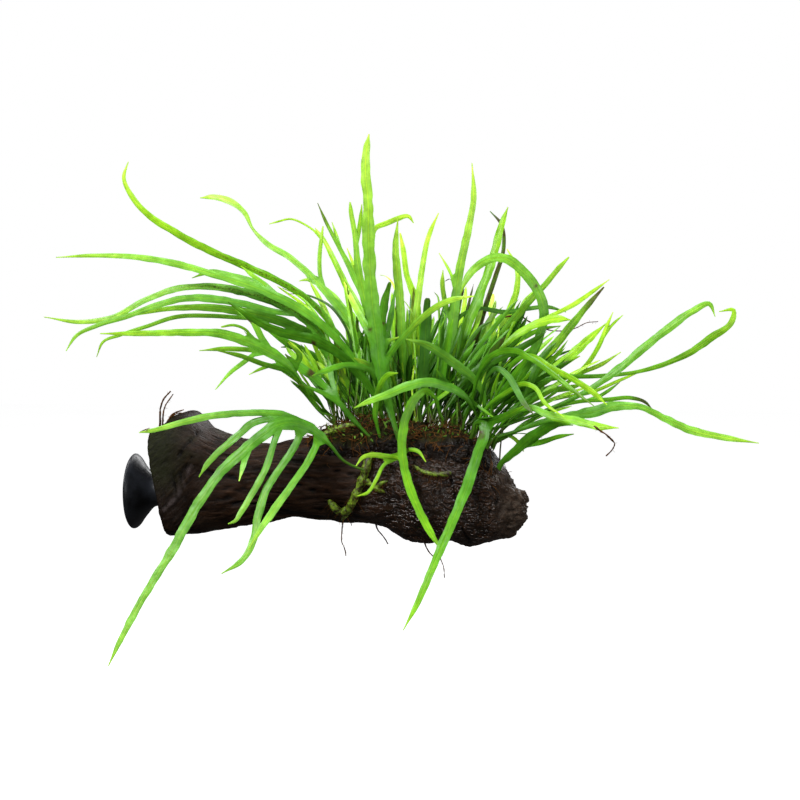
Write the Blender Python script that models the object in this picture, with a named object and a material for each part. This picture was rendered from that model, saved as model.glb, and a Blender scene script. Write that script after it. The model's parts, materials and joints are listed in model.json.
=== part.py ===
"""Java fern grown on a piece of driftwood, with a suction cup at the log's sawn end.

Frame: the origin is the centre of the cup's rim, the cup faces -X, the log runs along +X and +Z is up.
The front of the plant is its -Y side.

What grew freely is written as the front view shows it: u runs to the right, v down and w away from
the viewer, in millimetres on a sheet 400 mm wide. world() turns such rows into points of the frame.
A frond is a thin forked sheet. Its routes give each lobe's place and width in the front view, and
settle() finds the depth at which every lobe passes clear of the others.
"""

import math
from types import SimpleNamespace

import bmesh
import bpy
import numpy as np
from mathutils import Vector
from mathutils.bvhtree import BVHTree
from mathutils.kdtree import KDTree

MM = 0.001

# The front view
VIEW_TURN = math.radians(10.5)  # the viewer stands this far round to the log's right
VIEW_RISE = math.radians(3)  # and looks down this much
VIEW_DISTANCE = 1000  # mm from the viewer to the sheet
SHEET_CENTRE = 200
CUP_ON_SHEET = (67.1, 245.5, 20)  # the rim's centre, which is the frame's origin

# Suction cup, turned about X: (x, radius) in mm, from the dish's middle out over the rim to the neck
DISH = ((6.5, 0), (6.3, 3.5), (5.5, 7), (3.2, 12), (0, 17.1))
CONE = ((0, 19.1), (0.9, 19.1), (2.2, 17.9), (9, 9.2), (11, 7.4))
NECK_RADIUS = 7
CUP_SIDES = 24

# Driftwood log: outline in the front view, then depth and slant along X
LOG_TOP = (
    (76, 217), (86, 215), (96, 213.8), (107, 215), (112.5, 218.4), (119, 220.5), (129, 222), (140, 221),
    (152, 219.6), (175, 218.5), (205, 218), (225, 218.5), (236, 222), (243, 227.3), (249, 231.6),
    (253, 237), (256.5, 244.4), (260, 246.6), (264, 248.6), (267, 251.2),
)  # fmt: skip
LOG_BOTTOM = (
    (76, 267.6), (88, 267.4), (100, 263.9), (118, 261.9), (129, 260.4), (140, 259.4), (155, 258.6),
    (172, 259.3), (188, 260.6), (205, 264), (220, 269), (235, 271.6), (247, 270), (256, 266.2),
    (262, 261), (267, 256.6),
)  # fmt: skip
KNOB = ((88, 0), (92.5, 4.5), (97, 8.2), (100, 9.5), (102.8, 8.6), (105.8, 0))  # height over the top line
# The lip under the bottom line
FLANGE = ((189, 0), (194.5, 0.3), (200, 3), (206, 6.3), (212, 5.5), (218, 3), (224, 0))
LOG_HALF_DEPTH = ((12, 22.5), (40, 24), (62, 21.5), (90, 20), (130, 20.5), (165, 21), (187, 18.5), (201, 9))
LOG_START = 19  # the sawn face on the log's axis, mm from the rim
LOG_END = 198.6
SAW_SLANT = -0.19  # the sawn face leans: mm of X for each mm of height
SAW_SLANT_END = 70  # where sections stand upright again
SAW_EDGE = 0.9  # the sawn face's worn edge
LOG_SIDES = 26
LOG_STEP = 6.6
SQUARENESS = 2.35  # exponent of the log's sections; 2 is an ellipse
SAWN_SQUARENESS = 4.6  # the same at the sawn face
GAP = 0.35  # mm left between two pieces that touch

# Twigs of dead root on the log's knob, in the front view: (u, v, w, radius)
TWIGS = (
    ((80.5, 218, 12, 0.7), (80.3, 210, 11, 0.6), (81, 203, 9, 0.55), (85.3, 196, 8, 0.4)),
    ((82.5, 218, 15, 0.6), (82.2, 209, 14, 0.5), (83.5, 202, 13, 0.45), (87, 197, 14, 0.35)),
    ((82.5, 217, 6, 0.7), (84.5, 209, 5, 0.6), (88, 205.6, 4, 0.5), (92.5, 204.5, 3, 0.35)),
)

# Mat of roots and moss on the log: extent along X and round the section, and height
MAT_X = (92, 190)
MAT_ANGLES = (38, 150)  # degrees round the section from +Y over the top
MAT_HEIGHTS = ((92, 0.5), (100, 4.5), (112, 8), (135, 7.5), (155, 5.5), (172, 4.5), (182, 3), (190, 0.5))

# Creeping rhizomes on the log's face, in the front view: (u, v, radius). They follow the surface.
RHIZOMES = {
    "rhizome_front": (
        ((186.5, 226, 1.6), (184, 231, 2.1), (182.2, 237, 2.1), (179.5, 244, 2.1), (176.5, 250.5, 2),
         (173.5, 256, 1.8), (171, 260, 1.1)),
        ((181.5, 239.5, 1.5), (185.5, 242.5, 1.4), (189.5, 245, 1.2), (192.5, 246, 0.8)),
        ((188.3, 244, 1.1), (190.8, 241.6, 0.9), (194, 240.5, 0.6)),
        ((174.5, 254.5, 1.7), (170.5, 256, 1.9), (167, 253.4, 1.9), (164.3, 250, 1.2)),
    ),
    "rhizome_right": (
        ((206, 232.5, 0.8), (211, 235.6, 0.9), (216, 237, 1), (221, 237.2, 1.2), (225.5, 236.7, 1.7)),
    ),
    "rhizome_crest": (
        ((158.5, 219.5, 1.1), (162.5, 217.5, 1.7), (168, 215, 2), (173, 213.5, 1.8), (178, 212.5, 1)),
    ),
}  # fmt: skip
RHIZOME_SIDES = 5

FROND_THICKNESS = 0.7
CLEARANCE = 1.35  # the least step in depth between two blades that cross
KNOT_STEP = 3.0  # mm between the places of a lobe whose depths are free
ROOT_RISE = 4.0  # mm that a stalk goes straight off the mat
KIN_SHARE = 0.45  # lobes of one frond may pass this much closer
YOUNG = 9.0  # mm of a lobe next to its parent, where the two aren't held apart
SETTLE_ROUNDS = 420
STATION_LENGTH = 16.5  # mm between a blade's cross-sections where it is straight
STATION_TURN = math.radians(31)  # and the most it turns from one to the next

# A frond: its root on the mat as (u, w), its tip's depth w, the blade's tilt in degrees, its route from
# the root to the tip as (u, v, width), and its side lobes, each with its tip's depth and its route.
FRONDS = {
    "frond_low_left": (
        (182, 235), -66, 14,
        ((178, 233.6, 1.3), (172, 230.5, 1.4), (165.5, 223, 1.8), (159.5, 217, 4.4), (152, 212.7, 6.6),
         (145, 211.2, 7), (138, 212.8, 6.2), (131, 217.7, 5.4), (122, 225.2, 5.2), (111, 235.2, 5.1),
         (101.5, 248, 4.9), (93.8, 261, 4.7), (85, 277, 4.4), (75.6, 292, 4), (66.5, 308, 3.6),
         (60.2, 320, 2.9), (54.2, 333, 0.7)),
        ((-44, ((156, 214), (148, 209, 3.6), (138, 207, 3.6), (122, 206.5, 3.5), (103, 208.5, 3.4),
                (88, 212, 3), (76, 215.3, 2.2), (69.5, 216.3, 0.6))),
         (-42, ((143, 211.3), (134, 209.6, 3.4), (126.5, 211.5, 3.5), (119, 217.8, 3.6), (110, 225.3, 3.4),
                (104, 231.5, 2.8), (99.5, 238.5, 0.6))),
         (-58, ((124, 223.5), (121.8, 232, 2.8), (119.5, 240.5, 0.6))),
         (-52, ((140, 212), (136.5, 223, 3.2), (132.5, 235, 3.3), (126.5, 246, 3.3), (120.5, 256, 2.8),
                (117.5, 260.5, 1.8), (114, 262, 0.6))),
         (-60, ((151, 212.5), (148.5, 221, 3.6), (141, 232.5, 3.7), (133, 245, 3.9), (129, 258, 4),
                (126.7, 270, 4), (120.9, 280.3, 3), (110.7, 286.9, 0.6))),
         (-62, ((160, 217.5), (155, 229, 3.6), (147, 241, 3.8), (138, 253.5, 3.7), (130, 265, 3),
                (124, 275, 0.7)))),
    ),
    "frond_droop_middle": (
        (221, -18), -50, -18,
        ((220, 207, 1.4), (217.5, 199, 2), (213, 195.5, 3.2), (207.5, 199.5, 4.2), (203.5, 207, 4.4),
         (201.3, 217, 4.5), (201.3, 228, 4.5), (204, 241, 4.4), (209, 254, 4.1), (214.5, 265, 3.4),
         (221, 275.5, 0.8)), (),
    ),
    "frond_droop_right": (
        (235, -23), -74, 12,
        ((237.5, 212, 2), (241, 210.5, 4.2), (242, 216.5, 5.6), (239, 226, 5.4), (234.5, 240, 5.1),
         (229.3, 253.5, 5), (222.6, 269, 4.8), (215.6, 285.5, 4), (209, 301, 3.1), (201.6, 315.2, 0.6)),
        ((-56, ((241.5, 213), (248, 210, 4), (255, 207, 3.6), (262, 203, 0.8))),),
    ),
    "frond_sprout": (
        (203, 231.5), -36, 0,
        ((199.5, 229.3, 2.2), (193, 228.2, 2.6), (187, 227.5, 2.6), (182, 228.3, 2), (178, 233, 0.6)),
        ((-34, ((200, 229.6), (204, 225, 2), (208.5, 225.3, 2), (213, 231, 0.5))),
         (-36, ((196, 228.7), (191.5, 233, 1.8), (188, 240, 1.8), (183.5, 246.5, 1.6), (178.5, 248, 0.5)))),
    ),
    "frond_level_front": (
        (240, -19), -48, 22,
        ((238, 207, 1.6), (234.5, 200.5, 2.4), (229.5, 196, 3.6), (222, 192.6, 4.6), (213.5, 191, 4.6),
         (205, 192.6, 4.5), (196, 196.3, 4.2), (186.5, 199.8, 3.4), (177, 204, 0.8)),
        ((-38, ((224, 193.3), (220.5, 188, 2.2), (218, 184.5, 0.6))),
         (-34, ((233, 199), (238.5, 202.6, 1.6), (243.5, 206.3, 1.5), (248, 209.5, 0.5)))),
    ),
    "frond_hook_left": (
        (241, -14), -36, -25,
        ((242.3, 205, 1.6), (241.5, 197, 2.6), (238, 191, 3.8), (231, 184.5, 4.4), (223, 178.5, 4.4),
         (214, 172.7, 3.8), (203, 169.5, 0.8)), (),
    ),
    "frond_arch_front": (
        (231, -16), -62, 20,
        ((236, 200, 1.5), (239, 188, 2), (244, 179.5, 3), (250, 176, 3.2), (258, 175.5, 3),
         (266, 179.5, 2.8), (276, 186.7, 2.6), (287, 195.5, 2.2), (297, 203, 0.5)), (),
    ),
    "frond_dark_tip": (
        (236, -10), -54, -15,
        ((240.5, 200, 1.4), (244, 188, 1.8), (248.5, 184, 2.6), (253.5, 187.5, 3.2), (258, 194.5, 3.2),
         (262, 201.5, 2.8), (266.5, 207, 0.8)), (),
    ),
    "frond_pale_arch": (
        (236, -18), -60, 15,
        ((241, 207, 1.5), (247, 200.5, 2.2), (254, 195.7, 2.6), (262, 191.8, 2.4), (267.5, 193.8, 2.2),
         (272, 201, 2), (282, 208.5, 0.5)), (),
    ),
    "frond_curl_middle": (
        (190.5, 220), -32, 25,
        ((188.8, 214, 1.6), (187.6, 207, 2.6), (188.3, 199, 3), (190.6, 191.5, 3), (194, 187.3, 2.6),
         (199, 186.5, 0.8)), (),
    ),
    "frond_olive": (
        (187, -12), -50, 20,
        ((189, 205, 1.4), (188.5, 193, 1.8), (185, 185.5, 2.6), (178, 182.8, 3), (171, 182.7, 3),
         (163, 185.2, 2.8), (156, 188, 0.6)), (),
    ),
    "frond_front_left": (
        (192, -13), -54, -20,
        ((190, 203, 1.8), (184.5, 193, 3.6), (177.5, 184.5, 4.8), (168, 176, 5), (157, 170, 5),
         (144, 167, 4.6), (133, 163, 4.4), (125, 158.5, 3.2), (119, 154.5, 1.8), (114, 151, 0.5)), (),
    ),
    "frond_tall_centre": (
        (200, 221.5), -14, 12,
        ((197, 211.5, 2.6), (194, 201, 4), (191, 191, 6), (189.5, 180, 7), (188.3, 168, 7.2),
         (186.5, 155, 6.8), (185.3, 140, 6.4), (184.3, 120, 6), (184, 100, 5.2), (182.7, 84, 4.8),
         (183.4, 74, 3.6), (184.5, 67, 0.8)),
        ((-38, ((190.5, 187), (193, 180.5, 3), (198.5, 172.3, 3.2), (206, 164, 3.2), (214.5, 156, 3.2),
                (224, 150.5, 3), (237, 148, 0.8))),
         (-20, ((189.3, 178), (192.8, 171.5, 3), (199.5, 168.5, 0.8))),
         (6, ((189, 174), (184, 165, 3.6), (179, 156, 3.4), (175, 148, 2.6), (172, 141, 0.6))),
         (-32, ((191, 190), (187, 184.5, 3.2), (182, 181.5, 3.4), (177, 179, 0.8)))),
    ),
    "frond_dark_left": (
        (186, 219.5), -22, 18,
        ((181, 214.5, 3), (175.5, 208.5, 4.6), (169, 201, 5), (162.5, 197, 4.4), (156, 194.3, 3),
         (149, 192, 0.8)),
        ((2, ((169.5, 201.5), (167, 194, 4.2), (165.3, 186, 3.2), (164, 178, 0.7))),
         (8, ((173, 205), (165, 195.5, 5), (158, 189.5, 5.5), (151.5, 184.5, 5), (146, 180.5, 3),
                (142.5, 177, 0.6)))),
    ),
    "frond_mid_left": (
        (168, -7), -40, 15,
        ((161, 206.5, 1.7), (153.5, 195.5, 1.8), (148, 187, 2.2), (142.5, 181, 4.4), (135.5, 176.4, 5.2),
         (124, 171, 4.7), (111, 167, 4.2), (97, 166.2, 3.8), (82, 166.5, 3.4), (66, 166.8, 2.6),
         (50, 166.8, 0.6)),
        ((-16, ((134, 175), (130.2, 168, 3.4), (126.6, 160.8, 3.4), (121, 156, 2.8), (115, 152, 0.5))),
         (-26, ((127, 172.3), (123, 165, 1.4), (117, 162.6, 1.4), (110.5, 163.5, 1))),
         (-48, ((137, 177.5), (127, 175.2, 2.6), (113, 174.4, 2.6), (99.7, 175.3, 0.5))),
         (-54, ((148, 186.5), (141, 184.5, 2.8), (131, 181.8, 2.6), (120, 177.8, 2.4), (109, 175.5, 0.5))),
         (-22, ((146, 184.5), (149.8, 178.5, 3), (143.9, 171, 0.5))),
         (-36, ((144, 182.5), (137.5, 182.4, 1.8), (131, 184.2, 1.8), (124.5, 187.3, 0.4))),
         (-56, ((131, 174), (124, 179.5, 2.4), (115, 186.5, 2.2), (107.7, 194.8, 0.5))),
         (-28, ((163.5, 209), (159.5, 201, 1.4), (154, 192, 1.7), (149, 185, 0.6)))),
    ),
    "frond_far_left_top": (
        (176, 5), 26, -20,
        ((175, 200, 1.4), (173, 182, 2), (168.5, 168, 2.8), (161, 156.5, 3), (152, 148, 3), (140, 141, 3.3),
         (122.2, 132.8, 3.7), (104.2, 125, 3.8), (88.4, 116.6, 3.7), (75.4, 108.4, 3.3), (66.3, 98.8, 2.7),
         (61.9, 88.5, 1.9), (64.2, 80.8, 0.5)), (),
    ),
    "frond_far_left_upper": (
        (188, 0), -4, 20,
        ((185, 200, 1.6), (181, 188, 2.6), (174, 176, 3.4), (164, 165, 4.2), (152, 155.5, 4.6),
         (138, 148, 4.4), (124, 142.4, 4.1), (106, 137, 3.6), (86, 131.4, 3.4), (66, 128.4, 2.9),
         (46, 127.8, 2), (28, 128.7, 0.5)),
        ((16, ((138, 148), (129, 141.8, 2.8), (117, 138.2, 3), (105, 136, 2.6), (96, 139, 0.5))),
         (24, ((142, 149.5), (133, 142.8, 2.6), (126, 137.5, 2.2), (120.5, 133, 0.5)))),
    ),
    "frond_far_left_middle": (
        (183, 3), 8, 15,
        ((180, 207, 1.8), (174.5, 200, 2.4), (169.5, 192, 2.6), (166, 182, 3), (162, 171, 4),
         (153, 160, 4.6), (138, 151.3, 4.4), (120, 145.6, 4), (103, 143.3, 3.4), (88, 144.4, 3.1),
         (72, 150.4, 2.9), (56, 158.8, 2.8), (40, 161, 2.2), (22, 158.5, 0.5)),
        ((-12, ((149, 157.5), (137, 155.8, 3), (122, 152, 3.4), (108, 149.6, 3.7), (92, 149.2, 3.7),
                (78, 152.8, 3), (63, 158.3, 2.6), (48, 163, 2.2), (38, 168, 1.8), (33, 175.5, 0.5))),),
    ),
    "frond_far_left_lower": (
        (184, 8), 40, -18,
        ((181, 204, 1.8), (175.5, 195.5, 2.8), (170.5, 187.5, 3), (165, 178.5, 3.4), (157, 169.5, 4.6),
         (147, 163.3, 5), (135, 159, 4.6), (121, 155.8, 4.3), (107, 154, 3.6), (93, 153.8, 3),
         (79, 155, 2.4), (62, 158.8, 0.5)),
        ((26, ((137, 159.5), (120, 158.8, 2.2), (105, 157.9, 2.2), (88, 158.5, 2.2), (73, 163.3, 2),
               (60, 167.5, 1.8), (51.5, 171, 1.4), (48.3, 178.5, 0.4))),),
    ),
    "frond_twisted": (
        (187, 7), 50, 22,
        ((188, 198, 1.6), (186, 184, 2.6), (180, 169, 4.2), (171, 156, 4.2), (163, 146, 3.6),
         (155.8, 138.2, 3.2), (144.4, 128.4, 3.1), (133.3, 121.6, 2.7), (126.3, 114.3, 1.4),
         (122.2, 106.3, 2.5), (114.2, 100.3, 3.4), (106, 98.5, 2.7), (100, 99, 0.5)),
        ((36, ((166, 149.5), (160.6, 140, 2.2), (159.7, 130, 2.2), (160.6, 120, 2), (161.5, 113, 0.8))),
         (30, ((158.5, 141.5), (153.5, 139.8, 1.6), (149.5, 140.5, 0.4))),
         (66, ((181, 171), (175.5, 159, 3), (167.5, 149, 3), (162, 143.5, 1.6), (157, 141, 0.5)))),
    ),
    "frond_yellow_thin": (
        (189, 9), 62, -20,
        ((190, 195, 1.6), (187.5, 178, 3), (182, 159, 4), (173, 142.5, 3.4), (166.3, 128.5, 2.6),
         (161, 118.5, 2), (157.5, 114, 0.5)),
        ((76, ((165.5, 127), (160, 118.2, 1.1), (152.5, 112.3, 1), (145, 109.5, 1), (139, 110.8, 1),
               (134.6, 112, 0.4))),),
    ),
    "frond_needle": (
        (191, 5), 20, 25,
        ((191, 196, 1.6), (189, 176, 3), (184, 154, 4), (177, 138, 3.2), (169.3, 123, 2.2),
         (163, 111, 1.7), (158.8, 101.5, 0.4)),
        ((32, ((178, 140), (172, 129, 2.2), (168.3, 118, 1.8), (166, 111, 0.4))),),
    ),
    "frond_blunt_left": (
        (194, 0), 12, -20,
        ((193.5, 195, 1.6), (189, 174, 3), (182.5, 150, 4), (178.8, 131, 3.2), (177.3, 116, 2.7),
         (175.5, 106, 2.4), (175, 101, 1)),
        ((26, ((181, 145), (177, 133, 2), (173.5, 124, 0.5))),
         (6, ((178.1, 127), (179.2, 117, 2.4), (180.3, 109, 2), (181, 102, 0.5)))),
    ),
    "frond_back_hook": (
        (194, 5), 30, 15,
        ((195, 190, 1.4), (190, 165, 1.8), (186.5, 140, 2.2), (185.6, 122, 2.4), (188, 113.8, 2.6),
         (193, 111.8, 2.8), (199, 109.2, 2.6), (204.4, 108.2, 2), (206.8, 111.6, 0.5)), (),
    ),
    "frond_lime": (
        (203, 0), 0, -12,
        ((202.5, 195, 1.6), (201, 172, 3.6), (200.3, 155, 4.3), (199, 140, 4.1), (197.8, 124, 3.4),
         (199, 109, 0.6)), (),
    ),
    "frond_back_blunt": (
        (205, 7), 46, 20,
        ((210, 190, 1.6), (209, 168, 4), (207.8, 150, 3.6), (203.2, 137, 2.8), (201.8, 126, 2.7),
         (200, 116.5, 1.2)), (),
    ),
    "frond_back_thin": (
        (208, 1), 38, -20,
        ((206, 195, 1.4), (206, 172, 3.4), (209.3, 148, 3.2), (211.6, 131, 2.8), (214.7, 117, 2.4),
         (219.3, 106.5, 0.6)), (),
    ),
    "frond_tall_right": (
        (217, -6), 4, 15,
        ((219, 200, 2), (222, 184, 4.6), (225.8, 166, 5.6), (227.8, 149, 4.8), (230.5, 131, 4.3),
         (234, 115.5, 3.7), (236.8, 99, 2.9), (236, 81.5, 0.6)),
        ((22, ((228, 144), (224.5, 135, 1.5), (219.5, 126.5, 0.4))),
         (-10, ((226, 163), (222.3, 150, 2.6), (221.2, 141.5, 2.4), (221.5, 135, 0.5)))),
    ),
    "frond_broad_dark": (
        (211, -9), -22, 20,
        ((211.5, 200, 2), (212, 184, 5.4), (212.8, 167, 5.6), (213.8, 149, 3.4)), (),
    ),
    "frond_short_dark": (
        (197, -3), -2, -25,
        ((195.5, 200, 1.6), (193, 182, 3.4), (191, 167, 4.2), (192, 153, 4.2), (195, 141, 2)),
        ((10, ((192, 174), (195, 160, 3.2), (197.5, 145, 1))),),
    ),
    "frond_broad_right": (
        (227, -4), 18, -18,
        ((228, 200, 1.8), (229.5, 183, 4.4), (232.5, 166, 5.6), (238.4, 151, 5.2), (243.4, 138, 4.6),
         (248.1, 123, 4), (251.2, 111, 3.2), (254, 103.5, 0.6)), (),
    ),
    "frond_rolled_brown": (
        (225, 0), 32, 0,
        ((233, 195, 1.4), (238, 170, 2.6), (243.5, 151, 2.6), (248, 137.5, 2.3), (251.8, 124, 2),
         (250.6, 112, 1.6), (245, 105.6, 0.5)), (),
    ),
    "frond_arch_right": (
        (236, -5), -12, 15,
        ((248, 207, 1.6), (257, 194, 2.6), (264.5, 181, 4), (270, 167.5, 4.6), (272.1, 156, 4.9),
         (268.6, 144.8, 5.1), (261, 135.3, 5.2), (251, 128.8, 4.6), (241.5, 131, 4.2), (234.3, 137.8, 3.5),
         (230, 147, 0.7)), (),
    ),
    "frond_level_dark": (
        (222, -4), 22, -15,
        ((223, 195, 1.3), (224.5, 172, 1.5), (231, 157.5, 2), (240, 154.5, 2.3), (252, 156, 2.4),
         (264, 154.3, 2.3), (274, 153.5, 2), (283, 156, 0.5)), (),
    ),
    "frond_blunt_right": (
        (231, -9), 14, 22,
        ((236, 200, 1.6), (241, 184, 3.8), (248, 171.5, 4.4), (256, 161, 4), (264, 151.5, 3.3),
         (272, 143, 3), (279, 134.5, 2.7), (284.5, 128.5, 1)), (),
    ),
    "frond_back_right": (
        (229, 0), 48, -20,
        ((238, 195, 1.6), (247, 173, 3.2), (254.5, 156, 3.6), (258.3, 145, 3), (258.5, 134, 2.4),
         (253.5, 124.5, 0.7)),
        ((54, ((246.5, 174), (246.6, 163, 3), (245.6, 154, 3.4), (246.6, 147, 1.6))),),
    ),
    "frond_far_right_top": (
        (241, -8), -16, -20,
        ((252, 213, 1.4), (268, 207, 1.6), (285, 200, 2.2), (298, 192.7, 3), (310, 183.9, 3.7),
         (322, 173.8, 4.1), (335, 163.6, 4.1), (346.6, 155.4, 3.4), (354.8, 152, 2.4),
         (357.6, 158.4, 0.4)), (),
    ),
    "frond_far_right_arm": (
        (237, -3), 26, 18,
        ((248, 203, 1.4), (262, 193, 2), (280, 188.8, 2.3), (300, 188, 2.2), (317, 186.2, 1.9),
         (331, 182.5, 2.5), (345, 176.2, 3.5), (356.8, 168, 3.7), (366, 160.6, 3.1), (366.8, 155.2, 2.2),
         (359.5, 155.8, 0.5)), (),
    ),
    "frond_right_thin": (
        (241, -3), 46, 0,
        ((253, 212, 1.3), (266, 203, 1.4), (281, 198.8, 1.6), (296, 196, 1.8), (309, 190.5, 1.7),
         (322, 185, 0.5)), (),
    ),
    "frond_right_brown_tip": (
        (246, -5), 8, 15,
        ((256, 217, 1.3), (272, 206, 1.6), (288, 201, 2), (304, 199.8, 2.2), (316, 199, 2),
         (322.5, 201, 1.6), (326, 204.5, 0.5)),
        ((22, ((296, 200.4), (303.5, 195.8, 1.8), (310, 191, 0.5))),),
    ),
    "frond_far_right_low": (
        (246, -12), -26, -15,
        ((257, 216, 2), (271, 211, 3), (284, 208.3, 4.2), (297, 205.9, 5.4), (309, 202.9, 4.8),
         (320.4, 203.6, 3.1), (333, 209.5, 3.7), (346, 215.3, 4), (361, 218.6, 3.4),
         (379.5, 221.6, 0.5)), (),
    ),
    "frond_right_pale": (
        (243, -13), -46, 20,
        ((246, 203, 1.3), (252, 190, 1.6), (259, 179.5, 2.2), (265, 178, 2.6), (275, 183.5, 3),
         (288, 190.5, 3), (297, 196.5, 3), (303.5, 202.5, 0.5)), (),
    ),
    "frond_right_bright": (
        (243, -22), -60, -20,
        ((250, 213, 1.4), (257, 206.5, 2), (265, 203.8, 3), (275, 207.8, 3.8), (288, 210.4, 4.4),
         (298.6, 213.1, 3.9), (309.4, 214, 0.6)), (),
    ),
    "frond_right_forked": (
        (245, -7), 60, 15,
        ((262, 207, 1.3), (275, 198, 1.5), (286.4, 189, 1.9), (294.4, 181, 2.3), (300.3, 171, 2.4),
         (303.4, 163, 1.9), (306.5, 156, 0.4)),
        ((66, ((302.5, 168.5), (307, 161.5, 1.4), (311.5, 157.5, 0.4))),
         (70, ((289, 187.3), (300, 182.5, 2.2), (310.5, 176, 0.5)))),
    ),
    "frond_back_far_right": (
        (233, -1), 76, -18,
        ((247, 200, 1.4), (260, 195, 2), (272, 189, 3.4), (283, 179.8, 4.2),
         (293.6, 170.3, 4.1), (303.4, 161.4, 0.6)), (),
    ),
    "frond_brown_tip": (
        (231, -3), 30, 20,
        ((243, 200, 1.5), (256, 192.5, 2.4), (266, 187, 3.4), (275.5, 175.5, 4), (285, 163.5, 3.8),
         (293.5, 153, 3), (302, 143.5, 1)), (),
    ),
    "frond_low_right": (
        (249, 235), -38, 15,
        ((250.8, 231.5, 2.8), (254.5, 228, 4.2), (259.5, 223.8, 5), (265, 219.3, 6), (272, 214.8, 5),
         (280, 211.8, 3), (286.6, 212.6, 0.6)),
        ((-44, ((262, 222.5), (270, 221.2, 3), (279, 218.4, 2.3), (287, 217, 0.6))),),
    ),
    "frond_fork_right": (
        (226, -9), -10, -20,
        ((234, 200, 1.4), (243, 184, 1.8), (252, 173, 2.6), (262, 165, 3.6), (272, 160.7, 4),
         (279.5, 159.4, 3.6), (285.5, 160, 0.6)),
        ((6, ((266, 162.7), (277, 157.2, 2), (287, 152.2, 2.6), (296, 146, 2), (304.7, 139.7, 0.4))),),
    ),
    "frond_rear_centre": (
        (200, 6), 70, 20,
        ((201.5, 198, 1.6), (202.3, 187, 5), (203.5, 175, 6), (205, 163, 4.4), (206, 153, 2.4),
         (205.5, 146, 0.8)), (),
    ),
    "frond_rear_right": (
        (214, 5), 74, -20,
        ((216, 198, 1.6), (218.5, 186, 5.4), (220.5, 173, 5.6), (222, 161, 3.4), (222.5, 151, 0.8)), (),
    ),
    "frond_rear_far_right": (
        (221, 3), 80, 15,
        ((231, 198, 1.6), (237, 186, 5), (242, 174, 5.6), (247, 163, 4), (252.5, 155, 0.8)),
        ((92, ((240, 179), (250, 174, 3.4), (261, 169, 3), (271, 164.5, 2), (280, 163, 0.6))),),
    ),
    "frond_rear_left": (
        (181, 12), 60, -15,
        ((178, 202, 1.6), (171.5, 191.5, 2.4), (165, 184, 3.2), (157.5, 178.3, 3.7), (149.5, 174.3, 3.7),
         (142, 170.3, 3.4), (136, 166, 2.6), (131, 162.5, 0.6)),
        ((52, ((152, 175.8), (146, 173.4, 2), (140.5, 173.6, 0.5))),
         (72, ((166, 185), (163, 177, 2.8), (157.5, 167, 2.8), (151, 159, 0.8)))),
    ),
    "frond_rear_low": (
        (238, 2), 88, 20,
        ((248, 206, 1.6), (258, 197, 3.6), (270, 189, 4.6), (281, 182, 3.6), (290, 178, 0.8)),
        ((70, ((262, 194.5), (273, 195, 3.4), (284, 194, 3), (292, 192, 0.6))),),
    ),
}  # fmt: skip
# Rooted on the front: their root is (u, v)
ON_FACE = (
    "frond_low_left", "frond_sprout", "frond_tall_centre", "frond_curl_middle", "frond_dark_left",
    "frond_low_right",
)  # fmt: skip
BEFORE_LOG = ON_FACE + ("frond_droop_middle", "frond_droop_right")

# Colour (linear), roughness
WOOD = ((0.018, 0.011, 0.008), 0.45)
MAT_BROWN = ((0.08, 0.06, 0.03), 0.9)
RHIZOME_GREEN = ((0.09, 0.16, 0.03), 0.5)
RUBBER = ((0.008, 0.009, 0.012), 0.35)
LEAF = ((0.12, 0.38, 0.02), 0.4)


# ---------------------------------------------------------------- the front view


def axes_of_view():
    a, e = VIEW_TURN, VIEW_RISE
    right = np.array((math.cos(a), math.sin(a), 0))
    up = np.array((-math.sin(a) * math.sin(e), math.cos(a) * math.sin(e), math.cos(e)))
    away = np.array((-math.sin(a) * math.cos(e), math.cos(a) * math.cos(e), -math.sin(e)))
    return right, up, away


RIGHT, UP, AWAY = axes_of_view()


def from_sheet(rows):
    """Rows (u, v, w) in mm as points in mm, measured from the sheet's middle."""
    rows = np.asarray(rows, float)
    spread = 1 + rows[..., 2] / VIEW_DISTANCE
    across = spread * (rows[..., 0] - SHEET_CENTRE)
    over = spread * (SHEET_CENTRE - rows[..., 1])
    return across[..., None] * RIGHT + over[..., None] * UP + rows[..., 2, None] * AWAY


ORIGIN = from_sheet(CUP_ON_SHEET)


def world(rows):
    """Rows (u, v, w) in mm as points of the part's frame, in metres."""
    return (from_sheet(rows) - ORIGIN) * MM


def seen(point):
    """The row (u, v, w) of a point of the frame, in metres."""
    p = np.asarray(point, float) / MM + ORIGIN
    w = float(p @ AWAY)
    spread = 1 + w / VIEW_DISTANCE
    return SHEET_CENTRE + float(p @ RIGHT) / spread, SHEET_CENTRE - float(p @ UP) / spread, w


def on_log_plane(u, v):
    """x and z in mm where the sight line through (u, v) meets the upright plane y = 0."""
    flat = from_sheet((u, v, 0))
    w = (ORIGIN[1] - flat[1]) / (flat[1] / VIEW_DISTANCE + AWAY[1])
    x, _, z = world((u, v, w)) / MM
    return x, z


# ---------------------------------------------------------------- meshes


def smooth_step(t):
    t = np.clip(t, 0, 1)
    return t * t * (3 - 2 * t)


def material(name, colour, roughness):
    mat = bpy.data.materials.new(name)
    mat.use_nodes = True
    shader = mat.node_tree.nodes["Principled BSDF"]
    shader.inputs["Base Color"].default_value = (*colour, 1)
    shader.inputs["Roughness"].default_value = roughness
    shader.inputs["Metallic"].default_value = 0
    return mat


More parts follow.
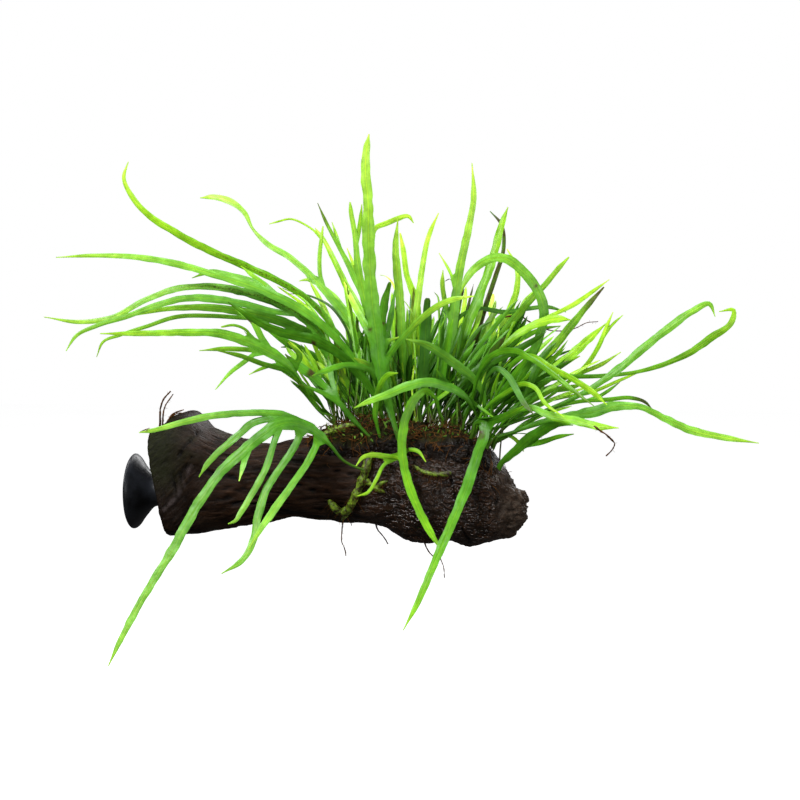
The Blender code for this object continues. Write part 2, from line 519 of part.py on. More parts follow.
def add_object(name, points, faces, look):
    """A closed mesh as an object, its points in metres, with a material of its own."""
    mesh = bpy.data.meshes.new(name)
    mesh.from_pydata([tuple(p) for p in points], [], faces)
    bm = bmesh.new()
    bm.from_mesh(mesh)
    bmesh.ops.recalc_face_normals(bm, faces=bm.faces)
    bmesh.ops.triangulate(bm, faces=bm.faces)
    bm.to_mesh(mesh)
    bm.free()
    mesh.shade_smooth()
    mesh.set_sharp_from_angle(angle=math.radians(50))
    obj = bpy.data.objects.new(name, mesh)
    bpy.context.scene.collection.objects.link(obj)
    mesh.materials.append(material(name, *look))
    return obj


def loft(rings):
    """Points and faces of a closed body through rings of as many points each, its ends closed by fans."""
    sides = len(rings[0])
    points = [p for ring in rings for p in ring]
    faces = []
    for k in range(len(rings) - 1):
        for i in range(sides):
            j = (i + 1) % sides
            faces.append((k * sides + i, k * sides + j, (k + 1) * sides + j, (k + 1) * sides + i))
    for ring, first in ((rings[0], 0), (rings[-1], (len(rings) - 1) * sides)):
        points.append(np.mean(ring, axis=0))
        faces += [(first + i, first + (i + 1) % sides, len(points) - 1) for i in range(sides)]
    return points, faces


def tube(centres, radii, sides):
    """Points and faces of a tube with closed ends along centres, all in metres."""
    centres = [Vector(c) for c in centres]
    side = (centres[1] - centres[0]).orthogonal().normalized()
    rings = []
    for k, (centre, radius) in enumerate(zip(centres, map(float, radii))):
        run = (centres[min(k + 1, len(centres) - 1)] - centres[max(k - 1, 0)]).normalized()
        side = (side - side.dot(run) * run).normalized()
        other = run.cross(side)
        turn = [2 * math.pi * i / sides for i in range(sides)]
        rings.append([np.array(centre + (side * math.cos(t) + other * math.sin(t)) * radius) for t in turn])
    return loft(rings)


def fuse(obj, points, faces):
    """Joins a closed shape to obj with a Boolean union; the shape itself stays hidden."""
    guide = add_object(obj.name + "_guide", points, faces, LEAF)
    guide.hide_render = True
    guide.hide_viewport = False
    guide.display_type = "WIRE"
    union = obj.modifiers.new("union", "BOOLEAN")
    union.operation = "UNION"
    union.solver = "EXACT"
    union.object = guide


def smooth_route(route, step=0.5):
    """Rows close together on a smooth curve through route's rows (u, v, ...).
    The other columns, such as a width, ease from row to row. The first column of the result is length."""
    p = np.asarray(route, float)
    t = np.concatenate([[0], np.cumsum(np.hypot(*np.diff(p[:, :2], axis=0).T))])
    run = np.diff(p, axis=0) / np.diff(t)[:, None]
    before, after = np.diff(t)[:-1, None], np.diff(t)[1:, None]
    middle = (run[:-1] * after + run[1:] * before) / (before + after)
    slope = np.vstack([run[:1], middle, run[-1:]])
    at = np.linspace(0, t[-1], max(8, int(t[-1] / step)) + 1)
    k = np.clip(np.searchsorted(t, at, side="right") - 1, 0, len(t) - 2)
    h = (t[k + 1] - t[k])[:, None]
    f = ((at - t[k]) / (t[k + 1] - t[k]))[:, None]
    curve = (
        (1 + 2 * f) * (1 - f) ** 2 * p[k]
        + f * (1 - f) ** 2 * h * slope[k]
        + f * f * (3 - 2 * f) * p[k + 1]
        + f * f * (f - 1) * h * slope[k + 1]
    )
    curve[:, 2:] = p[k, 2:] + (p[k + 1, 2:] - p[k, 2:]) * smooth_step(f)
    length = np.concatenate([[0], np.cumsum(np.hypot(*np.diff(curve[:, :2], axis=0).T))])
    return np.column_stack([length, curve])


# ---------------------------------------------------------------- the log, its mat and rhizomes


def lookup(table, at):
    xs, ys = np.array(table, float).T
    return np.interp(at, xs, ys)


def outline(points):
    return tuple(on_log_plane(u, v) for u, v in points)


TOP_LINE, BOTTOM_LINE = outline(LOG_TOP), outline(LOG_BOTTOM)
KNOB_LINE = tuple((on_log_plane(u, SHEET_CENTRE)[0], h) for u, h in KNOB)
FLANGE_LINE = tuple((on_log_plane(u, SHEET_CENTRE)[0], h) for u, h in FLANGE)


def log_relief(x, angle):
    """Broad dents and swellings of the log, in mm."""
    return (
        0.7 * np.sin(0.085 * x + 2 * angle + 1)
        + 0.5 * np.sin(0.19 * x - 3 * angle + 2)
        + 0.35 * np.sin(0.31 * x + 5 * angle)
    )


def log_point(x, angle, out=0.0):
    """Point in mm on the log's section at x, at angle round from +Y over the top, moved out by out."""
    top, bottom = lookup(TOP_LINE, x), lookup(BOTTOM_LINE, x)
    half_height, middle = (top - bottom) / 2, (top + bottom) / 2
    half_depth = lookup(LOG_HALF_DEPTH, x)
    c, s = math.cos(angle), math.sin(angle)
    sawn = smooth_step((SAW_SLANT_END - x) / (SAW_SLANT_END - LOG_START))
    power = 2 / (SQUARENESS + (SAWN_SQUARENESS - SQUARENESS) * sawn)
    y = half_depth * math.copysign(abs(c) ** power, c)
    z = half_height * math.copysign(abs(s) ** power, s)
    z += lookup(KNOB_LINE, x) * max(0, math.sin(angle + 0.15)) ** 6
    z -= lookup(FLANGE_LINE, x) * max(0, -math.sin(angle + 0.2)) ** 6
    grow = 1 + (log_relief(x, angle) + out) / math.hypot(y, z)
    return np.array((x + SAW_SLANT * sawn * (z * grow + middle), y * grow, z * grow + middle))


def log_stations():
    count = round((LOG_END - 8 - LOG_START) / LOG_STEP)
    evenly = np.linspace(LOG_START + SAW_EDGE, LOG_END - 8, count + 1)
    return [*evenly, LOG_END - 4.5, LOG_END - 1.8, LOG_END]


def around(sides):
    return [2 * math.pi * i / sides for i in range(sides)]


def driftwood():
    face = [log_point(LOG_START, a, -SAW_EDGE) * MM for a in around(LOG_SIDES)]
    rings = [face] + [[log_point(x, a) * MM for a in around(LOG_SIDES)] for x in log_stations()]
    obj = add_object("driftwood", *loft(rings), WOOD)
    for twig in TWIGS:
        rows = np.array(twig)
        fuse(obj, *tube(world(rows[:, :3]), rows[:, 3] * MM, 4))
    return obj


def root_mat():
    """A lumpy pad on the log's top, on the log's own grid so that the two stay parallel."""
    xs = [x for x in log_stations() if MAT_X[0] <= x <= MAT_X[1]]
    low, high = MAT_ANGLES
    angles = [a for a in around(LOG_SIDES) if low <= math.degrees(a) <= high]
    under, over = [], []
    for x in xs:
        for a in angles:
            round_way = smooth_step(3.2 * min(a - angles[0], angles[-1] - a) / (angles[-1] - angles[0]))
            lumps = 1 + 0.22 * math.sin(0.35 * x + 3 * a) + 0.16 * math.sin(0.8 * x - 7 * a)
            height = 0.6 + lookup(MAT_HEIGHTS, x) * round_way * lumps
            under.append(log_point(x, a, 1.6 * GAP) * MM)
            over.append(log_point(x, a, 1.6 * GAP + height) * MM)
    rows, cols, count = len(xs), len(angles), len(under)
    faces = []
    for i in range(rows - 1):
        for j in range(cols - 1):
            k = i * cols + j
            faces.append((k, k + 1, k + cols + 1, k + cols))
            faces.append(tuple(count + n for n in (k, k + cols, k + cols + 1, k + 1)))
    rim = [(0, j) for j in range(cols)] + [(i, cols - 1) for i in range(1, rows)]
    rim += [(rows - 1, j) for j in range(cols - 2, -1, -1)] + [(i, 0) for i in range(rows - 2, 0, -1)]
    for (i, j), (m, n) in zip(rim, rim[1:] + rim[:1]):
        a, b = i * cols + j, m * cols + n
        faces.append((a, b, count + b, count + a))
    return add_object("root_mat", under + over, faces, MAT_BROWN)


def tree_of(*objects):
    """A search tree of the surfaces of these objects as they are now, modifiers included."""
    graph = bpy.context.evaluated_depsgraph_get()
    points, faces = [], []
    for obj in objects:
        mesh = obj.evaluated_get(graph).data
        first = len(points)
        points += [obj.matrix_world @ v.co for v in mesh.vertices]
        faces += [[first + i for i in p.vertices] for p in mesh.polygons]
    return BVHTree.FromPolygons(points, faces)


def face_depth(tree, u, v, default=None):
    """The depth w at which the sight line through (u, v) first meets the tree."""
    near, far = (Vector(p) for p in world(((u, v, -400), (u, v, 400))))
    hit = tree.ray_cast(near, (far - near).normalized())[0]
    return default if hit is None else seen(hit)[2]


def rhizome(name, stems, tree):
    """Stems lying on the face of what the tree holds, fused into one piece."""
    obj = None
    for stem in stems:
        rows = smooth_route(stem)
        rows = rows[np.linspace(0, len(rows) - 1, 2 * len(stem) - 1).astype(int), 1:]
        places = []
        for u, v, radius in rows:
            ring = [(u + radius * math.cos(t), v + radius * math.sin(t)) for t in around(8)] + [(u, v)]
            depths = [face_depth(tree, *p) for p in ring]
            face = min(d for d in depths if d is not None)
            places.append((u, v, face - radius - GAP))
        shape = tube(world(places), rows[:, 2] * MM, RHIZOME_SIDES)
        if obj is None:
            obj = add_object(name, *shape, RHIZOME_GREEN)
        else:
            fuse(obj, *shape)
    bpy.context.view_layer.update()
    return obj


def suction_cup():
    """A turned cup whose neck ends on the log's slanted sawn face."""
    profile = [*DISH[1:], *CONE, (LOG_START - GAP, NECK_RADIUS)]
    rings = []
    for k, (x, radius) in enumerate(profile):
        lean = SAW_SLANT if k == len(profile) - 1 else 0
        ring = [(radius * math.cos(a), radius * math.sin(a)) for a in around(CUP_SIDES)]
        rings.append([np.array((x + lean * z, y, z)) * MM for y, z in ring])
    points, faces = loft(rings)
    points[-2] = np.array((DISH[0][0], 0, 0)) * MM
    return add_object("suction_cup", points, faces, RUBBER)


# ---------------------------------------------------------------- fronds


def make_strap(frond, route, tip_depth, tilt, parent=None):
    """One lobe, or a frond's main one: its rows (length, u, v, width), its lean and where it forks off."""
    strap = SimpleNamespace(frond=frond, parent=parent, tip_depth=tip_depth, tilt=tilt, lobes=[])
    if parent is None:
        strap.rows = smooth_route(route)
        strap.start = 0.0
        return strap
    gap = np.hypot(*(parent.rows[:, 1:3] - route[0][:2]).T)
    k = int(gap.argmin())
    first = (*parent.rows[k, 1:3], route[1][2])
    rows = smooth_route((first, *route[1:]))
    away = np.hypot(*(rows[:, None, 1:3] - parent.rows[None, :, 1:3]).transpose(2, 0, 1))
    nearest = away.argmin(1)
    outside = away.min(1) > parent.rows[nearest, 3] / 2
    leaves = int(outside.argmax())  # where the lobe's middle comes out of its parent's edge
    strap.start = rows[leaves, 0]
    strap.rows = rows
    strap.fork = float(parent.rows[nearest[leaves], 0])
    here = nearest[leaves]
    run = parent.rows[min(here + 2, len(parent.rows) - 1), 1:3] - parent.rows[max(here - 2, 0), 1:3]
    out = rows[leaves, 1:3] - parent.rows[here, 1:3]
    strap.side = 1 if run[0] * out[1] - run[1] * out[0] > 0 else -1
    parent.lobes.append(strap)
    return strap


def at_length(strap, s):
    """u, v, half width and the unit vector to the strap's right-hand side, at lengths s."""
    rows = strap.rows
    u, v, width = (np.interp(s, rows[:, 0], rows[:, c]) for c in (1, 2, 3))
    ahead, behind = np.minimum(s + 1.2, rows[-1, 0]), np.maximum(s - 1.2, 0)
    du = np.interp(ahead, rows[:, 0], rows[:, 1]) - np.interp(behind, rows[:, 0], rows[:, 1])
    dv = np.interp(ahead, rows[:, 0], rows[:, 2]) - np.interp(behind, rows[:, 0], rows[:, 2])
    size = np.hypot(du, dv)
    return u, v, width / 2, -dv / size, du / size


def lean_of(strap, s):
    """How far the blade's side steps back for each mm across it: none on the stalk, all on the blade."""
    _, _, half, _, _ = at_length(strap, s)
    return math.tan(math.radians(strap.tilt)) * smooth_step((half - 0.6) / 1.2)


def plant_root(name, root, solids):
    """The first rows (u, v, w) of a frond: on a rhizome's face, or on the mat's top and a little off it."""
    if name in ON_FACE:
        u, v = root
        return [(u, v, face_depth(solids, u, v) - GAP - 0.8)]
    u, depth = root
    v = 212.0
    for _ in range(6):
        x, y, _ = world((u, v, depth))
        top, normal, _, _ = solids.ray_cast(Vector((x, y, 0.2)), Vector((0, 0, -1)))
        base = top + normal * ((GAP + 0.5) * MM)
        v += seen(base)[1] - v
    rise = (normal + Vector((0, 0, 0.8))).normalized()
    return [seen(base), seen(base + rise * (ROOT_RISE * MM))]


def grow(solids):
    """Every strap of every frond, with knots along it whose depths are still the planned ones."""
    straps = []
    for name, (root, tip_depth, tilt, route, lobes) in FRONDS.items():
        planted = plant_root(name, root, solids)
        stem = make_strap(name, (*((u, v, route[0][2]) for u, v, _ in planted), *route), tip_depth, tilt)
        stem.root_depth, stem.low_depth = planted[0][2], planted[-1][2]
        straps.append(stem)
        straps += [make_strap(name, path, tip, tilt, stem) for tip, path in lobes]
    for strap in straps:
        end = strap.rows[-1, 0]
        strap.knots = np.linspace(strap.start, end, max(4, round((end - strap.start) / KNOT_STEP) + 1))
        share = (strap.knots - strap.start) / (end - strap.start)
        if strap.parent is not None:
            _, _, half, _, _ = at_length(strap.parent, np.array([strap.fork]))
            at_fork = np.interp(strap.fork, strap.parent.knots, strap.parent.depths)
            strap.root_depth = float(at_fork + strap.side * half[0] * lean_of(strap.parent, strap.fork))
            strap.low_depth = strap.root_depth
        low = 0.0 if strap.root_depth == strap.low_depth else ROOT_RISE / (end - strap.start)
        plan = (strap.root_depth, strap.low_depth, strap.tip_depth)
        strap.depths = np.interp(share, (0, low, 1), plan) if low else np.interp(share, (0, 1), plan[1:])
    return straps


def close_pairs(places, reach):
    tree = KDTree(len(places))
    for k, (u, v) in enumerate(places):
        tree.insert((u, v, 0), k)
    tree.balance()
    pairs = []
    for k, (u, v) in enumerate(places):
        pairs += [(k, j) for _, j, _ in tree.find_range((u, v, 0), reach) if j > k]
    return np.array(pairs)


def settle(straps, solids):
    """Moves knots in depth only, so that the front view stays, until straps that cross are clear."""
    first = np.cumsum([0] + [len(s.knots) for s in straps])
    count = first[-1]
    depth = np.concatenate([s.depths for s in straps])
    planned = depth.copy()
    before, after, fixed = np.arange(count) - 1, np.arange(count) + 1, np.zeros(count, bool)
    index = {id(s): k for k, s in enumerate(straps)}
    tied, tied_to = [], []
    for k, s in enumerate(straps):
        after[first[k + 1] - 1] = first[k + 1] - 1
        before[first[k]] = first[k]
        if s.parent is None:
            fixed[first[k] : first[k + 1]] = s.knots <= ROOT_RISE
        else:
            at = index[id(s.parent)]
            before[first[k]] = first[at] + int(np.abs(s.parent.knots - s.fork).argmin())
            tied.append(first[k])
            tied_to.append(before[first[k]])

    owner, knot, places, offset, reach = [], [], [], [], []
    for k, s in enumerate(straps):
        u, v, half, nu, nv = at_length(s, s.knots)
        slope = lean_of(s, s.knots)
        for side in (-1, -0.5, 0, 0.5, 1):
            wide = np.full(len(s.knots), side == 0) | (half > (1.0 if abs(side) == 1 else 1.8))
            which = np.flatnonzero(wide)
            owner += [k] * len(which)
            knot += list(first[k] + which)
            places += list(zip((u + side * half * nu)[which], (v + side * half * nv)[which]))
            offset += list((side * half * slope)[which])
            reach += list((0.45 + 0.42 * half)[which])
    owner, knot, offset, reach = (np.array(x) for x in (owner, knot, offset, reach))
    i, j = close_pairs(places, CLEARANCE + 2 * reach.max()).T
    places = np.array(places)
    apart = np.hypot(*(places[i] - places[j]).T)
    plant = np.array([s.frond for s in straps])
    kin = plant[:, None] == plant[None, :]
    need = CLEARANCE + (reach[i] + reach[j]) * np.where(kin[owner[i], owner[j]], KIN_SHARE, 1)
    along = np.concatenate([s.knots - s.start for s in straps])
    lobe = np.array([s.parent is not None for s in straps])
    young = (lobe[owner[i]] & (along[knot[i]] < YOUNG)) | (lobe[owner[j]] & (along[knot[j]] < YOUNG))
    keep = (apart < need) & (owner[i] != owner[j]) & ~(kin[owner[i], owner[j]] & young)
    i, j, apart, need = i[keep], j[keep], apart[keep], need[keep]
    step = np.sqrt(need**2 - apart**2)

    # One order of depth for each place where two straps cross
    a, b = owner[i], owner[j]
    order = np.lexsort((knot[i], b, a))
    i, j, step, a, b = i[order], j[order], step[order], a[order], b[order]
    new = np.ones(len(i), bool)
    new[1:] = (a[1:] != a[:-1]) | (b[1:] != b[:-1]) | (knot[i][1:] - knot[i][:-1] > 4)
    place = np.cumsum(new) - 1
    lead = np.bincount(place, (depth[knot[i]] + offset[i] - depth[knot[j]] - offset[j]) * step)
    sign = np.where(lead >= 0, 1, -1)[place]

    wall = np.full(len(owner), np.inf)
    for k, (u, v) in enumerate(places):
        s = straps[owner[k]]
        if s.frond in BEFORE_LOG and (lobe[owner[k]] or along[knot[k]] > 5):
            face = face_depth(solids, u, v)
            wall[k] = np.inf if face is None else face - reach[k] - 0.6
    for turn in range(SETTLE_ROUNDS):
        at = depth[knot] + offset
        short = np.maximum(step - sign * (at[i] - at[j]), 0)
        back, forth = np.zeros(count), np.zeros(count)
        np.maximum.at(back, knot[i], np.where(sign > 0, short, 0))
        np.maximum.at(back, knot[j], np.where(sign < 0, short, 0))
        np.maximum.at(forth, knot[i], np.where(sign < 0, short, 0))
        np.maximum.at(forth, knot[j], np.where(sign > 0, short, 0))
        np.maximum.at(forth, knot, np.where(at > wall, 2 * (at - wall), 0))
        depth += 0.5 * (back - forth)
        moved = depth - planned
        soft = 0.5 if turn < SETTLE_ROUNDS - 60 else 0.2
        for _ in range(2):
            moved += soft * (0.5 * (moved[before] + moved[after]) - moved)
            moved[fixed] = 0
            moved[tied] = moved[tied_to]
        depth = planned + moved
    for k, s in enumerate(straps):
        s.depths = depth[first[k] : first[k + 1]]
    return float(short.max()) if len(short) else 0.0


def depth_at(strap, s):
    return np.interp(s, strap.knots, strap.depths)


def stations(strap):
    """Lengths along a strap, closer together where it bends."""
    rows = strap.rows[strap.rows[:, 0] >= strap.start - 1e-6]
    run = np.diff(rows[:, 1:3], axis=0)
    heading = np.unwrap(np.arctan2(run[:, 1], run[:, 0]))
    bend = np.concatenate([[0], np.abs(np.diff(heading)), [0]])
    effort = np.cumsum(np.gradient(rows[:, 0]) / STATION_LENGTH + bend / STATION_TURN)
    effort -= effort[0]
    least = 6 if strap.parent is None else 4 if rows[-1, 0] - rows[0, 0] > 14 else 3
    count = max(least, round(effort[-1]))
    return np.interp(np.linspace(0, effort[-1], count + 1), effort, rows[:, 0])


def edge_rows(strap, s, side):
    u, v, half, nu, nv = at_length(strap, s)
    deep = depth_at(strap, s) + side * half * lean_of(strap, s)
    return np.column_stack([u + side * half * nu, v + side * half * nv, deep])


def frond_sheet(stem):
    """Rows (u, v, w) and faces of a frond: a strip for its main lobe, and one off it for each other."""
    s = stations(stem)
    taken = set()
    for lobe in stem.lobes:
        nearest = np.argsort(np.abs((s[1:] + s[:-1]) / 2 - lobe.fork))
        free = [k for k in nearest if 0 < k < len(s) - 2 and (k, lobe.side) not in taken]
        lobe.gap = int(free[0])
        taken.add((lobe.gap, lobe.side))
    left, right = edge_rows(stem, s, -1), edge_rows(stem, s, 1)
    rows = [r for pair in zip(left, right) for r in pair]
    faces = [(2 * k, 2 * k + 1, 2 * k + 3, 2 * k + 2) for k in range(len(s) - 1)]
    for lobe in stem.lobes:
        t = stations(lobe)[1:]
        low = 2 * lobe.gap + (1 if lobe.side > 0 else 0)
        near, far = low, low + 2
        sides = [edge_rows(lobe, t, -1), edge_rows(lobe, t, 1)]
        _, _, _, nu, nv = at_length(lobe, np.array([lobe.start]))
        along_edge = rows[far][:2] - rows[near][:2]
        if along_edge[0] * nu[0] + along_edge[1] * nv[0] < 0:
            sides.reverse()
        for one, two in zip(*sides):
            rows += [one, two]
            faces.append((near, far, len(rows) - 1, len(rows) - 2))
            near, far = len(rows) - 2, len(rows) - 1
    return rows, faces


def frond(stem):
    rows, faces = frond_sheet(stem)
    mesh = bpy.data.meshes.new(stem.frond)
    mesh.from_pydata([tuple(p) for p in world(rows)], [], faces)
    bm = bmesh.new()
    bm.from_mesh(mesh)
    bmesh.ops.recalc_face_normals(bm, faces=bm.faces)
    bm.to_mesh(mesh)
    bm.free()
    mesh.shade_smooth()
    mesh.materials.append(material(stem.frond, *LEAF))
    obj = bpy.data.objects.new(stem.frond, mesh)
    bpy.context.scene.collection.objects.link(obj)
    thick = obj.modifiers.new("thickness", "SOLIDIFY")
    thick.thickness = FROND_THICKNESS * MM
    thick.offset = 0
    return obj


def main():
    for obj in list(bpy.data.objects):
        bpy.data.objects.remove(obj)
    suction_cup()
    log = driftwood()
    mat = root_mat()
    bpy.context.view_layer.update()
    ground = tree_of(log, mat)
    rhizomes = [rhizome(name, stems, ground) for name, stems in RHIZOMES.items()]
    solids = tree_of(log, mat, *rhizomes)
    straps = grow(solids)
    settle(straps, solids)
    for strap in straps:
        if strap.parent is None:
            frond(strap)


main()
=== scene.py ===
"""Java fern on driftwood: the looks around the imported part.

The frame's origin is the middle of the suction cup's rim. What grew freely is written as the front view
shows it: u runs to the right, v down and w away from the viewer, in millimetres on a sheet 400 mm wide.
"""

import json
import math
from types import SimpleNamespace

import bmesh
import bpy
import numpy as np
from mathutils import Matrix, Vector
from mathutils.bvhtree import BVHTree
from mathutils.kdtree import KDTree

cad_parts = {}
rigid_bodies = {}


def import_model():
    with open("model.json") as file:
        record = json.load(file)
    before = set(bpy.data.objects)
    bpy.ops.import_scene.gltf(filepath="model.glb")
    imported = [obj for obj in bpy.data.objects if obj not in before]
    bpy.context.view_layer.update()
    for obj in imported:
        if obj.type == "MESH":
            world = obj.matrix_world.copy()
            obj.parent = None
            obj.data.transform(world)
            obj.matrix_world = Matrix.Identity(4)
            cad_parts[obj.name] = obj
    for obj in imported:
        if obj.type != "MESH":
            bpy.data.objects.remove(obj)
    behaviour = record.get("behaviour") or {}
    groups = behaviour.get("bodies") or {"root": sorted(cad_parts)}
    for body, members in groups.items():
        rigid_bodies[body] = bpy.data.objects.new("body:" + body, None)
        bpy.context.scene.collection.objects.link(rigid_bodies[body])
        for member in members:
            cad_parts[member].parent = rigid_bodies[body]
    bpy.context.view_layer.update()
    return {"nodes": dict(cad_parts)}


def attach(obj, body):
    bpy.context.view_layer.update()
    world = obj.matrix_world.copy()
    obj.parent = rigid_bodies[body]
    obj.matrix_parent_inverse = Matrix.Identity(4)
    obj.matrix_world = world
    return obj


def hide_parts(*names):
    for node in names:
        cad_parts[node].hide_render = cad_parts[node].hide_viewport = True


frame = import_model()
NODES = frame["nodes"]

# ---------------------------------------------------------------- the part's own measures

MM = 0.001  # metres
VIEW_TURN = math.radians(10.5)  # the viewer stands this far round to the log's right
VIEW_RISE = math.radians(3)  # and looks down this much
VIEW_DISTANCE = 1000  # mm from the viewer to the sheet
SHEET_CENTRE = 200
CUP_ON_SHEET = (67.1, 245.5, 20)  # the rim's centre, which is the frame's origin
LOG_TOP = (
    (76, 217), (86, 215), (96, 213.8), (107, 215), (112.5, 218.4), (119, 220.5), (129, 222), (140, 221),
    (152, 219.6), (175, 218.5), (205, 218), (225, 218.5), (236, 222), (243, 227.3), (249, 231.6),
    (253, 237), (256.5, 244.4), (260, 246.6), (264, 248.6), (267, 251.2),
)  # fmt: skip
LOG_BOTTOM = (
    (76, 267.6), (88, 267.4), (100, 263.9), (118, 261.9), (129, 260.4), (140, 259.4), (155, 258.6),
    (172, 259.3), (188, 260.6), (205, 264), (220, 269), (235, 271.6), (247, 270), (256, 266.2),
    (262, 261), (267, 256.6),
)  # fmt: skip
KNOB = ((88, 0), (92.5, 4.5), (97, 8.2), (100, 9.5), (102.8, 8.6), (105.8, 0))  # height over the top line
FLANGE = ((189, 0), (194.5, 0.3), (200, 3), (206, 6.3), (212, 5.5), (218, 3), (224, 0))
LOG_HALF_DEPTH = ((12, 22.5), (40, 24), (62, 21.5), (90, 20), (130, 20.5), (165, 21), (187, 18.5), (201, 9))
LOG_START = 19  # the sawn face on the log's axis, mm from the rim
LOG_END = 198.6
SAW_SLANT = -0.19  # the sawn face leans: mm of X for each mm of height
SAW_SLANT_END = 70  # where sections stand upright again
CORNER = 2.4  # mm to each side over which tables' and depths' corners are rounded off
SQUARENESS = 2.35  # exponent of the log's sections; 2 is an ellipse
SAWN_SQUARENESS = 4.6  # the same at the sawn face
GAP = 0.35  # mm left between two pieces that touch
MAT_X = (92, 190)
MAT_ANGLES = (38, 150)  # degrees round the section from +Y over the top
MAT_HEIGHTS = ((92, 0.5), (100, 4.5), (112, 8), (135, 7.5), (155, 5.5), (172, 4.5), (182, 3), (190, 0.5))
RHIZOMES = {
    "rhizome_front": (
        ((186.5, 226, 1.6), (184, 231, 2.1), (182.2, 237, 2.1), (179.5, 244, 2.1), (176.5, 250.5, 2),
         (173.5, 256, 1.8), (171, 260, 1.1)),
        ((181.5, 239.5, 1.5), (185.5, 242.5, 1.4), (189.5, 245, 1.2), (192.5, 246, 0.8)),
        ((188.3, 244, 1.1), (190.8, 241.6, 0.9), (194, 240.5, 0.6)),
        ((174.5, 254.5, 1.7), (170.5, 256, 1.9), (167, 253.4, 1.9), (164.3, 250, 1.2)),
    ),
    "rhizome_right": (
        ((206, 232.5, 0.8), (211, 235.6, 0.9), (216, 237, 1), (221, 237.2, 1.2), (225.5, 236.7, 1.7)),
    ),
    "rhizome_crest": (
        ((158.5, 219.5, 1.1), (162.5, 217.5, 1.7), (168, 215, 2), (173, 213.5, 1.8), (178, 212.5, 1)),
    ),
}  # fmt: skip
CLEARANCE = 1.35  # the least step in depth between two blades that cross
KNOT_STEP = 3.0  # mm between the places of a lobe whose depths are free
ROOT_RISE = 4.0  # mm that a stalk goes straight off the mat
KIN_SHARE = 0.45  # lobes of one frond may pass this much closer
YOUNG = 9.0  # mm of a lobe next to its parent, where the two aren't held apart
SETTLE_ROUNDS = 420
FIRM_ROUNDS = 60  # the last of them smooth less, so that the clearances come out
SLOPE_REACH = 1.2  # mm to each side over which a blade's direction is taken
BALL = (0.45, 0.42)  # radius of the balls that stand for a blade: mm, and mm per mm of half width
LOG_CLEARANCE = 0.6  # mm from those balls to the log's face
ROOT_ALONG = 5  # mm of a stalk that may touch down on the log's face

